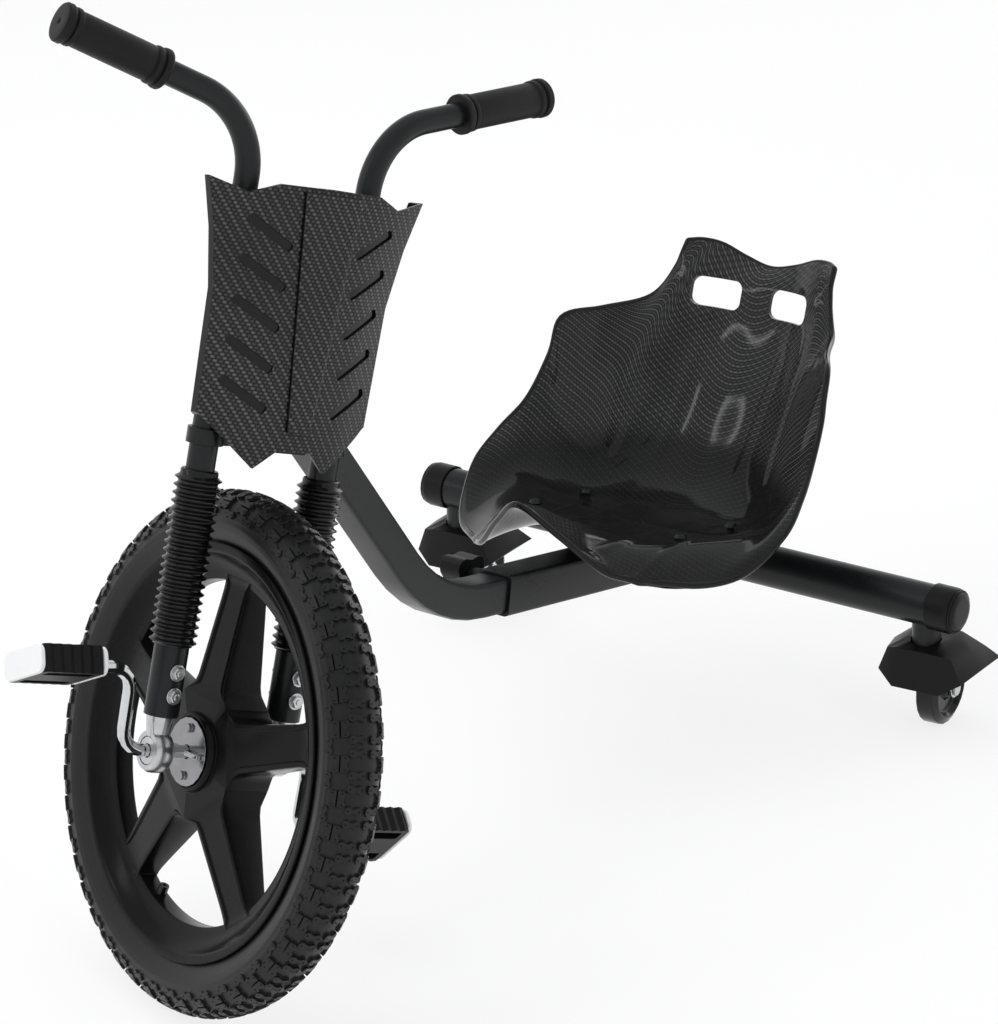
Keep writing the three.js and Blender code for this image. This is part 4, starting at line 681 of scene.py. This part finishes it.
def add_block(blocks, pins, outline, start, across, lift, turned, flip):
    """One lobed block; turned lays its long side across the tread. Its two near-black pin discs, painted shade
    standing for pin holes, go to pins.
    """
    def place(long, short, out):
        arc, sideways = (short, long) if turned else (long, short)
        return tread_place(start + arc, flip * (across + sideways), out)

    points = []
    for share, height in ((1, BLOCK_ROOT), (1, lift - BLOCK_EDGE), (BLOCK_TOP_SHARE, lift)):
        points += [place(long * share, short * share, height) for long, short in outline]
    add_part(*blocks, points, ring_faces(3, len(outline)))
    for end in (-PIN_PLACE, PIN_PLACE):
        points = []
        for height in (lift - PIN_ROOT, lift + PIN_PROUD):
            for k in range(PIN_SIDES):
                angle = 2 * math.pi * k / PIN_SIDES
                points.append(place(end + PIN_RADIUS * math.cos(angle), PIN_RADIUS * math.sin(angle), height))
        add_part(*pins, points, ring_faces(2, PIN_SIDES))


def build_tyre():
    blocks = turned_profile(HUB, ACROSS, BACK, carcass(), CARCASS_STEPS, closed=True)
    pins = ([], [])
    pitch = 2 * math.pi * TYRE_RADIUS / TREAD_PITCHES
    for number in range(TREAD_PITCHES):
        start, half_on = pitch * number, pitch * (number + 0.5)
        for flip in (1, -1):
            for spread in (-PAIR_SPREAD, PAIR_SPREAD):
                add_block(blocks, pins, LOBED_BLOCK, start + spread, PAIR_ACROSS, TREAD_LIFT, True, flip)
            for outline, gap in ((HALF_BLOCK, HALVES_GAP), (MIRRORED_HALF, -HALVES_GAP)):
                add_block(blocks, pins, outline, half_on, HALVES_ACROSS + gap, TREAD_LIFT, False, flip)
            add_block(blocks, pins, LOBED_BLOCK, start, SINGLE_ACROSS, TREAD_LIFT - SHOULDER_DROP, False, flip)
    make("tyre_block_tread", *blocks, "tyre", "front_wheel", "tyre", sharp=40)
    # The pin discs are near-black: painted shade in place of pin holes
    make("tyre_pin_shade_discs", *pins, "pin", "front_wheel", sharp=40)


build_tyre()


# Moulded wheel: a smooth rim, a barrel hub and five spokes that widen into webs at the hub

SPOKES, SPOKE_START, SPOKE_PHASE = 5, 15.5, math.radians(92)
SPOKE_END, HUB_HALF_WIDTH, RIM_HALF_WIDTH, HUB_HALF_DEPTH, RIM_HALF_DEPTH = 136.0, 20.0, 15.0, 21.5, 8.5
WEB_START, WEB_HALF, WEB_SLOPE, WEB_SOFT, WEB_FADE = 42.0, 28.8, 1.1, 1.2, 8
RIM_FLARE, RIM_FADE, RECESS_FADE = 4.5, 4.0, 6
SPOKE_BORDER, SPOKE_RECESS, SPOKE_ROUND = 4.2, 1.5, 1.7
SPOKE_STATIONS = (14, 24, 32, 38, 40, 41, 42, 43.5, 46, 50, 56, 64, 72, 80, 90, 102, 114, 122, 127, 130.5,
                  132.5, 134)
RIM_HALF_PROFILE = [
    (152.35, 15.65), (158, 15.65), (158, 19.2), (157.3, 20), (152.6, 20), (150.8, 19.4), (149.4, 17.8), (146.4, 14.8),
    (142.6, 11.9), (138.6, 9.7), (135.4, 8.6), (131.4, 8.1), (130.4, 7.5), (130, 6.4),
]
HUB_HALF_PROFILE = [(5.3, 24), (26.4, 24), (26.4, 25), (26.8, 25.4), (28.6, 25.4), (29.3, 24.9), (30.6, 21)]


def spoke_ring(station):
    """A spoke's outline as [across, depth] at a distance from the axle, recessed inside a border."""
    share = (station - SPOKE_START) / (SPOKE_END - SPOKE_START)
    half = HUB_HALF_WIDTH + (RIM_HALF_WIDTH - HUB_HALF_WIDTH) * share
    depth = HUB_HALF_DEPTH + (RIM_HALF_DEPTH - HUB_HALF_DEPTH) * share
    web = WEB_HALF - WEB_SLOPE * (station - WEB_START)
    half += WEB_SOFT * math.log1p(math.exp((web - half) / WEB_SOFT))
    half += RIM_FLARE * math.exp((station - SPOKE_STATIONS[-1]) / RIM_FADE)
    half = min(half, station * math.tan(math.pi / SPOKES))
    open_share = min(max((station - WEB_START) / WEB_FADE, 0.01), 1)
    edge, border = SPOKE_ROUND * open_share, SPOKE_BORDER * open_share
    recess = SPOKE_RECESS * open_share * min(max((SPOKE_STATIONS[-1] - station) / RECESS_FADE, 0.05), 1)
    quarter = [(half, 0), (half, depth - edge), (half - 0.3 * edge, depth - 0.3 * edge), (half - edge, depth),
               (half - border, depth), (half - border - 0.9 * open_share, depth - recess),
               (half * 0.35, depth - recess), (0, depth - recess)]
    ring = quarter + [(-w, d) for w, d in quarter[-2::-1]]
    return ring + [(-w, -d) for w, d in quarter[1:]] + [(w, -d) for w, d in quarter[-2:0:-1]]


def build_wheel():
    points, faces = [], []
    for half_profile, sides in ((RIM_HALF_PROFILE, 180), (HUB_HALF_PROFILE, 72)):
        profile = half_profile + [(radius, -along) for radius, along in half_profile[::-1]]
        add_part(points, faces, *turned_profile(HUB, ACROSS, BACK, profile, sides, closed=True))
    rings = [(station, spoke_ring(station)) for station in SPOKE_STATIONS]
    for spoke in range(SPOKES):
        angle = SPOKE_PHASE - 2 * math.pi * spoke / SPOKES
        ray = BACK * math.cos(angle) + UP * math.sin(angle)
        side = UP * math.cos(angle) - BACK * math.sin(angle)
        add_part(points, faces,
                 [HUB + (ray * station + side * w + ACROSS * d) * MM for station, ring in rings for w, d in ring],
                 ring_faces(len(rings), len(rings[0][1])))
    make("mag_wheel_moulded", points, faces, "plastic", "front_wheel", "mag_wheel", sharp=38)


build_wheel()


# Seat: the moulded shell with its ribs, rolled rim and slots

SEAT_ORIGIN = Vector((8.2, 89.8, 167.0))
SEAT_HALF_WIDTH, SEAT_LENGTH, SEAT_HEIGHT, SEAT_WALL = 160.0, 393.0, 189.0, 5.0
ACROSS_SHARES = [
    [0, 0.2, 0.39, 0.465, 0.525], [0, 0.225, 0.475, 0.625, 0.74], [0, 0.245, 0.54, 0.75, 0.915],
    [0, 0.255, 0.55, 0.805, 1], [0, 0.26, 0.55, 0.805, 0.97], [0, 0.26, 0.54, 0.79, 0.915],
    [0, 0.26, 0.525, 0.765, 0.88], [0, 0.255, 0.495, 0.725, 0.85], [0, 0.255, 0.49, 0.64, 0.715],
    [0, 0.255, 0.465, 0.55, 0.585], [0, 0.24, 0.415, 0.475, 0.505], [0, 0.22, 0.375, 0.44, 0.484],
    [0, 0.16, 0.302, 0.4, 0.468],
]
BACK_SHARES = [
    [0, 0.035, 0.08, 0.105, 0.135], [0.08, 0.09, 0.13, 0.17, 0.21], [0.18, 0.195, 0.22, 0.245, 0.3],
    [0.275, 0.29, 0.305, 0.335, 0.405], [0.375, 0.38, 0.385, 0.42, 0.485], [0.47, 0.47, 0.475, 0.51, 0.56],
    [0.57, 0.575, 0.565, 0.575, 0.625], [0.655, 0.655, 0.615, 0.635, 0.665], [0.72, 0.725, 0.69, 0.715, 0.755],
    [0.805, 0.81, 0.775, 0.815, 0.868], [0.905, 0.905, 0.88, 0.895, 0.915], [0.947, 0.945, 0.915, 0.925, 0.933],
    [1, 0.998, 0.989, 0.974, 0.951],
]
UP_SHARES = [
    [0.425, 0.29, 0.12, 0.07, 0.03], [0.345, 0.215, 0.08, 0.03, 0.015], [0.215, 0.16, 0.09, 0.035, 0.04],
    [0.13, 0.11, 0.1, 0.08, 0.175], [0.08, 0.075, 0.085, 0.12, 0.28], [0.025, 0.02, 0.03, 0.155, 0.38],
    [0.005, 0, 0.015, 0.25, 0.55], [0.05, 0.065, 0.06, 0.42, 0.73], [0.175, 0.195, 0.29, 0.555, 0.745],
    [0.4, 0.425, 0.525, 0.67, 0.758], [0.64, 0.66, 0.755, 0.83, 0.88], [0.847, 0.85, 0.875, 0.92, 0.949],
    [0.905, 0.935, 0.985, 1, 0.998],
]
SLOT_SIZE, SLOT_STEPS, SLOT_REACH = (45.0, 26.0, 8.0), 6, 45
SLOT_CENTRE, SLOT_LEAN = (37.5, 362.0, 148.5), math.radians(74)
STEPS_ACROSS, STEPS_ALONG = 14, 8
EDGE_REACH, EDGE_TURNS = 0.9, [math.radians(degrees) for degrees in (60, 20, -20, -60)]
RIM_BEAD, RIM_BEAD_INSET = 2.8, 0.5
# Relief: places across, lift, then half the width of a rib and of its slope
BACK_RIBS, BACK_RIB_LIFT, BACK_RIB_SHAPE = (42, 79), 1.7, (2.6, 2.6)
PAN_RIBS, PAN_RIB_LIFT, PAN_RIB_SHAPE = (16, 48, 82), 1.1, (1.2, 2.2)
WELL, WELL_DEPTH, WELL_WIDTH = 60.5, 1.0, 11
# The relief comes in and goes out over these spans: heights and places along the seat
BACK_FOOT, BACK_HEAD, BACK_START = (16, 30), (92, 124), (205, 235)
PAN_FRONT, PAN_REAR, PAN_FLANK = (22, 46), (148, 176), (50, 66)


def spline(points, steps):
    """A smooth curve through the points, with the same number of steps in each span."""
    ends = [points[0] * 2 - points[1], *points, points[-1] * 2 - points[-2]]
    made = []
    for i in range(len(points) - 1):
        a, b, c, d = ends[i:i + 4]
        first = max((b - a).length ** 0.5, 1e-4)
        middle = max((c - b).length ** 0.5, 1e-4)
        last = max((d - c).length ** 0.5, 1e-4)
        leave = ((b - a) / first - (c - a) / (first + middle) + (c - b) / middle) * middle
        reach = ((c - b) / middle - (d - b) / (middle + last) + (d - c) / last) * middle
        for k in range(steps):
            t = k / steps
            made.append(b * (2 * t**3 - 3 * t**2 + 1) + leave * (t**3 - 2 * t**2 + t)
                        + c * (3 * t**2 - 2 * t**3) + reach * (t**3 - t**2))
    made.append(points[-1].copy())
    return made


def seat_grid():
    rows = []
    for across, back, up in zip(ACROSS_SHARES, BACK_SHARES, UP_SHARES):
        half = [Vector((a * SEAT_HALF_WIDTH, b * SEAT_LENGTH, c * SEAT_HEIGHT)) for a, b, c in zip(across, back, up)]
        mirror = [Vector((-p.x, p.y, p.z)) for p in half[:0:-1]]
        rows.append(spline(mirror + half, STEPS_ACROSS))
    columns = [spline([row[i] for row in rows], STEPS_ALONG) for i in range(len(rows[0]))]
    return [[column[j] for column in columns] for j in range(len(columns[0]))]


def ease(value, low, high):
    share = min(max((value - low) / (high - low), 0), 1)
    return share * share * (3 - 2 * share)


def rib(distance, half, edge):
    return 1 - ease(abs(distance), half, half + edge)


def seat_relief(place):
    """How far the moulded ribs and wells lift the seat's upper surface, in millimetres."""
    x, y, z = abs(place.x), place.y, place.z
    on_back = ease(z, *BACK_FOOT) * (1 - ease(z, *BACK_HEAD)) * ease(y, *BACK_START)
    on_pan = ease(y, *PAN_FRONT) * (1 - ease(y, *PAN_REAR)) * (1 - ease(z, *PAN_FLANK))
    back = sum(BACK_RIB_LIFT * rib(x - middle, *BACK_RIB_SHAPE) for middle in BACK_RIBS)
    back -= WELL_DEPTH * math.exp(-((x - WELL) / WELL_WIDTH) ** 2)
    pan = sum(PAN_RIB_LIFT * rib(x - middle, *PAN_RIB_SHAPE) for middle in PAN_RIBS)
    return on_back * back + on_pan * pan


def rounded_outline(width, height, radius):
    points = []
    for cx, cy, start in ((1, 1, 0), (-1, 1, 90), (-1, -1, 180), (1, -1, 270)):
        for k in range(SLOT_STEPS + 1):
            angle = math.radians(start + 90 * k / SLOT_STEPS)
            points.append((cx * (width / 2 - radius) + radius * math.cos(angle),
                           cy * (height / 2 - radius) + radius * math.sin(angle)))
    return points


def slot_cutter(side):
    width, height, radius = SLOT_SIZE
    centre = SEAT_ORIGIN + Vector((side * SLOT_CENTRE[0], SLOT_CENTRE[1], SLOT_CENTRE[2]))
    turn = Matrix.Rotation(SLOT_LEAN, 3, "X")
    outline = rounded_outline(width, height, radius)
    points = [(centre + turn @ Vector((x, y, z))) * MM for z in (-SLOT_REACH, SLOT_REACH) for x, y in outline]
    return add_object("slot_cutter", new_mesh("slot_cutter", points, ring_faces(2, len(outline))))


def seat_normals(grid):
    rows, count = len(grid), len(grid[0])
    normals = []
    for j in range(rows):
        line = []
        for i in range(count):
            du = grid[j][min(i + 1, count - 1)] - grid[j][max(i - 1, 0)]
            dv = grid[min(j + 1, rows - 1)][i] - grid[max(j - 1, 0)][i]
            normal = du.cross(dv).normalized()
            line.append(-normal if normal.z < 0 and normal.y > 0 else normal)
        normals.append(line)
    return normals


def seat_edge(grid, normals):
    """The shell's outer places in order, as [row, place in the row, way out]."""
    rows, count = len(grid), len(grid[0])
    ring = [(0, i) for i in range(count - 1)] + [(j, count - 1) for j in range(rows - 1)]
    ring += [(rows - 1, i) for i in range(count - 1, 0, -1)] + [(j, 0) for j in range(rows - 1, 0, -1)]
    edge = []
    for j, i in ring:
        out = grid[j][i] - grid[min(max(j, 1), rows - 2)][min(max(i, 1), count - 2)]
        edge.append((j, i, (out - normals[j][i] * out.dot(normals[j][i])).normalized()))
    return edge


def flat_place(grid, j, i):
    """Lengths along a row from the seat's middle line, and along a column from its front edge."""
    row, column, middle = grid[j], [line[i] for line in grid], len(grid[0]) // 2
    u = sum((row[k] - row[k - 1]).length for k in range(middle + 1, i + 1))
    u -= sum((row[k] - row[k + 1]).length for k in range(i, middle))
    return u, sum((column[k] - column[k - 1]).length for k in range(1, j + 1))


def shell_mesh(name, grid, normals, edge):
    rows, count = len(grid), len(grid[0])
    flat = [[flat_place(grid, j, i) for i in range(count)] for j in range(rows)]
    points, places, faces, lips = [], [], [], []

    def put(j, i, shift):
        points.append((SEAT_ORIGIN + grid[j][i] + shift) * MM)
        places.append(flat[j][i])
        return len(points) - 1

    top = [[put(j, i, normals[j][i] * seat_relief(grid[j][i])) for i in range(count)] for j in range(rows)]
    under = [[put(j, i, normals[j][i] * -SEAT_WALL) for i in range(count)] for j in range(rows)]
    for j in range(rows - 1):
        for i in range(count - 1):
            faces.append((top[j][i], top[j][i + 1], top[j + 1][i + 1], top[j + 1][i]))
            faces.append((under[j][i], under[j + 1][i], under[j + 1][i + 1], under[j][i + 1]))
    for j, i, out in edge:
        drop = normals[j][i] * (SEAT_WALL / 2)
        lip = [put(j, i, out * (EDGE_REACH * math.cos(turn)) + drop * (math.sin(turn) - 1)) for turn in EDGE_TURNS]
        lips.append([top[j][i], *lip, under[j][i]])
    for k, lip in enumerate(lips):
        ahead = lips[(k + 1) % len(lips)]
        for a in range(len(lip) - 1):
            faces.append((lip[a], ahead[a], ahead[a + 1], lip[a + 1]))
    mesh = new_mesh(name, points, faces)
    layer = mesh.uv_layers.new(name="millimetres")
    for loop in mesh.loops:
        layer.data[loop.index].uv = places[loop.vertex_index]
    face_outwards(mesh)
    return mesh


def rim_path(grid, normals, edge):
    """The middle of the rolled rim: along the shell's edge, smoothed once."""
    path = [grid[j][i] - normals[j][i] * (SEAT_WALL / 2) - out * RIM_BEAD_INSET for j, i, out in edge]
    count = len(path)
    smooth = [(path[k - 1] + path[k] * 2 + path[(k + 1) % count]) / 4 for k in range(count)]
    return [(SEAT_ORIGIN + place) * MM for place in smooth]


def build_seat():
    name = "seat_shell_moulded"
    grid = seat_grid()
    normals = seat_normals(grid)
    edge = seat_edge(grid, normals)
    blank = add_object(name, shell_mesh(name, grid, normals, edge))
    for side in (1, -1):
        cutter = slot_cutter(side)
        cut = blank.modifiers.new("slot", "BOOLEAN")
        cut.operation = "DIFFERENCE"
        cut.solver = "EXACT"
        cut.object = cutter
        with bpy.context.temp_override(object=blank, active_object=blank):
            bpy.ops.object.modifier_apply(modifier=cut.name)
        bpy.data.objects.remove(cutter)
    mesh = blank.data
    bpy.data.objects.remove(blank)
    settle(finish_mesh(name, mesh, "seat_carbon", sharp=50), "rear_frame", "seat_carbon", "seat_shell")
    loop_tube("seat_rolled_rim", rim_path(grid, normals, edge), RIM_BEAD, 12, "louvre", "rear_frame")


build_seat()


# Louvres: the floors and walls of the fairing's slots in dark gloss without the weave, as painted shade in the
# grooves

LOUVRE_COUNT, LOUVRE_FIRST, LOUVRE_PITCH, LOUVRE_CENTRE = 5, 394.0, 30.0, 46.0
LOUVRE_LENGTH, LOUVRE_HEIGHT, LOUVRE_TILT, LOUVRE_MARGIN = 40.0, 7.0, math.radians(30), 0.3
SIDEWAYS = 0.8


def in_louvre(place, number):
    offset = (place - HUB) / MM
    across, up = abs(offset.dot(ACROSS)), offset.dot(UP)
    u, v = across - LOUVRE_CENTRE, up - (LOUVRE_FIRST - number * LOUVRE_PITCH)
    long = u * math.cos(LOUVRE_TILT) + v * math.sin(LOUVRE_TILT)
    short = v * math.cos(LOUVRE_TILT) - u * math.sin(LOUVRE_TILT)
    return abs(long) < LOUVRE_LENGTH / 2 + LOUVRE_MARGIN and abs(short) < LOUVRE_HEIGHT / 2 + LOUVRE_MARGIN


def finish_fairing(piece):
    """Dark gloss without the weave in the louvres, painted shade in the grooves; on the side walls a near-black
    finish with almost no reflection, painted shade too, next to the weave.
    """
    piece.data.materials.append(MATERIALS["louvre"])
    piece.data.materials.append(MATERIALS["wall"])
    for face in piece.data.polygons:
        corners = [piece.data.vertices[i].co for i in face.vertices]
        # Faces inside a louvre take the dark gloss: painted shade in the groove
        if any(all(in_louvre(place, number) for place in corners) for number in range(LOUVRE_COUNT)):
            face.material_index = 1
        # Faces looking sideways take the near-black side finish with almost no reflection: painted shade
        elif abs(face.normal.dot(ACROSS)) > SIDEWAYS:
            face.material_index = 2


# Everything else keeps its CAD form, with joined faces and rounded edges: look, and edge in millimetres

REFINED = {
    "main_frame": ("steel", 0.8), "lower_headset_cup": ("steel", 0.4), "upper_headset_cup": ("steel", 0.4),
    "lower_crown": ("steel", 0.8), "upper_crown": ("steel", 0.8), "steerer_tube": ("steel", 0.3),
    "steerer_nut": ("zinc", 0.5), "fairing_shell": ("fork_carbon", 0.5), "fairing_spine": ("fork_carbon", 0.5),
    "rear_sleeve": ("steel", 0.6), "rear_axle_tube": ("steel", 0.4), "clamp_knob": ("moulding", 1.2),
    "front_seat_strap": ("steel", 0.6), "rear_seat_strap": ("steel", 0.6),
    "inner_tube": ("boot", 0.4), "crankshaft": ("chrome", 0.4),
}
REFINED_BOTH = {
    "upper_fork_tube": ("steel", 0.2), "lower_leg": ("steel", 0.4), "axle_eye": ("zinc", 0.5),
    "eye_bearing": ("zinc", 0.2), "hub_plate": ("plate", 0.3),
    "pedal_tread": ("moulding", 0.4), "pedal_frame": ("white", 0.8), "axle_cap": ("moulding", 0.6),
    "caster_fork": ("zinc", 0.3), "caster_cover": ("moulding", 2.6), "caster_wheel": ("tread", 0.8),
    "caster_axle": ("zinc", 0.4), "front_seat_bolt": ("steel", 0.3), "rear_seat_bolt": ("steel", 0.3),
}
for node, (finish, bevel) in REFINED.items():
    piece = refined(node, finish, bevel)
    if node == "fairing_shell":
        finish_fairing(piece)
for stem, (finish, bevel) in REFINED_BOTH.items():
    for side in SIDES:
        refined(f"{stem}_{side}", finish, bevel)


# Floor, light and world

# The floor's outline from the middle outwards, in metres: flat, then curving up all round as a backdrop
FLOOR_PROFILE = [(10, 0), (11, 0.3), (11.8, 1), (12.4, 2.2), (12.7, 4), (12.8, 7.5)]
FLOOR_SIDES = 48
FLOOR_GLOW = 0.8
# The world's light from the horizon to overhead, and how far up it stops growing
SKY_LOW, SKY_HIGH, SKY_TOP, SKY_COLOUR = 0.16, 0.75, 0.9, (0.96, 0.98, 1, 1)


def build_stage():
    turns = [2 * math.pi * i / FLOOR_SIDES for i in range(FLOOR_SIDES)]
    points = [(reach * math.cos(turn), reach * math.sin(turn), rise)
              for reach, rise in FLOOR_PROFILE for turn in turns]
    faces = [tuple(range(FLOOR_SIDES))]
    for row in range(len(FLOOR_PROFILE) - 1):
        for i in range(FLOOR_SIDES):
            a, b = row * FLOOR_SIDES + i, row * FLOOR_SIDES + (i + 1) % FLOOR_SIDES
            faces.append((b, a, a + FLOOR_SIDES, b + FLOOR_SIDES))
    mesh = new_mesh("floor", points, faces)
    mesh.shade_smooth()
    mesh.polygons[0].use_smooth = False
    floor = add_object("floor", mesh)
    shader = Shader("pale_floor")
    shader.set(Base_Color=shader.mix(shader.ramp(shader.noise(3, 2), 0, 1), grey(0.84), grey(0.86)))
    shader.set(Roughness=0.9, Specular_IOR_Level=0.1)
    glow = shader.node("ShaderNodeEmission")
    glow.inputs["Color"].default_value = (1, 1, 1, 1)
    glow.inputs["Strength"].default_value = 1.0
    rays = shader.node("ShaderNodeLightPath")
    seen = shader.math("MAXIMUM", rays.outputs["Is Camera Ray"], rays.outputs["Is Glossy Ray"])
    seen = shader.math("MAXIMUM", seen, rays.outputs["Is Transmission Ray"])
    mixed = shader.node("ShaderNodeMixShader")
    shader.link(shader.math("MULTIPLY", seen, FLOOR_GLOW), mixed.inputs[0])
    shader.link(shader.main.outputs[0], mixed.inputs[1])
    shader.link(glow.outputs[0], mixed.inputs[2])
    shader.link(mixed.outputs[0], shader.out.inputs["Surface"])
    mesh.materials.append(shader.material)


def build_light(name, place, aim, size, power, mirrored=True):
    lamp = bpy.data.lights.new(name, "AREA")
    lamp.shape = "RECTANGLE"
    lamp.size, lamp.size_y = size
    lamp.energy = power
    holder = add_object(name, lamp)
    holder.location = place
    holder.rotation_euler = (Vector(aim) - Vector(place)).to_track_quat("-Z", "Y").to_euler()
    holder.visible_glossy = mirrored
    holder.visible_camera = False


def build_world():
    world = bpy.data.worlds.new("soft_room")
    bpy.context.scene.world = world
    world.use_nodes = True
    tree = world.node_tree
    place = tree.nodes.new("ShaderNodeTexCoord")
    split = tree.nodes.new("ShaderNodeSeparateXYZ")
    fade = tree.nodes.new("ShaderNodeMapRange")
    fade.interpolation_type = "SMOOTHSTEP"
    for socket, number in zip(SPAN_SOCKETS, (0, SKY_TOP, SKY_LOW, SKY_HIGH)):
        fade.inputs[socket].default_value = number
    sky = tree.nodes["Background"]
    sky.inputs["Color"].default_value = SKY_COLOUR
    tree.links.new(place.outputs["Generated"], split.inputs[0])
    tree.links.new(split.outputs["Z"], fade.inputs["Value"])
    tree.links.new(fade.outputs["Result"], sky.inputs["Strength"])


build_stage()
build_world()
build_light("key_light", (-1.6, -2.4, 2.6), (0, 0, 0.3), (2.4, 2.4), 56, mirrored=False)
build_light("side_light", (2.8, -0.6, 1.8), (0, 0, 0.3), (0.8, 2.0), 22, mirrored=False)
build_light("top_light", (-1.5, 0.7, 2.6), (0, 0.1, 0.2), (2.2, 2.2), 34, mirrored=False)
build_light("strip_light", (-1.6, -1.6, 2.1), (0, 0.2, 0.3), (0.2, 1.2), 4)
build_light("back_light", (0.5, 3.0, 1.0), (0, 0.2, 0.3), (3.4, 0.9), 12)
bpy.context.scene.view_settings.view_transform = "Standard"
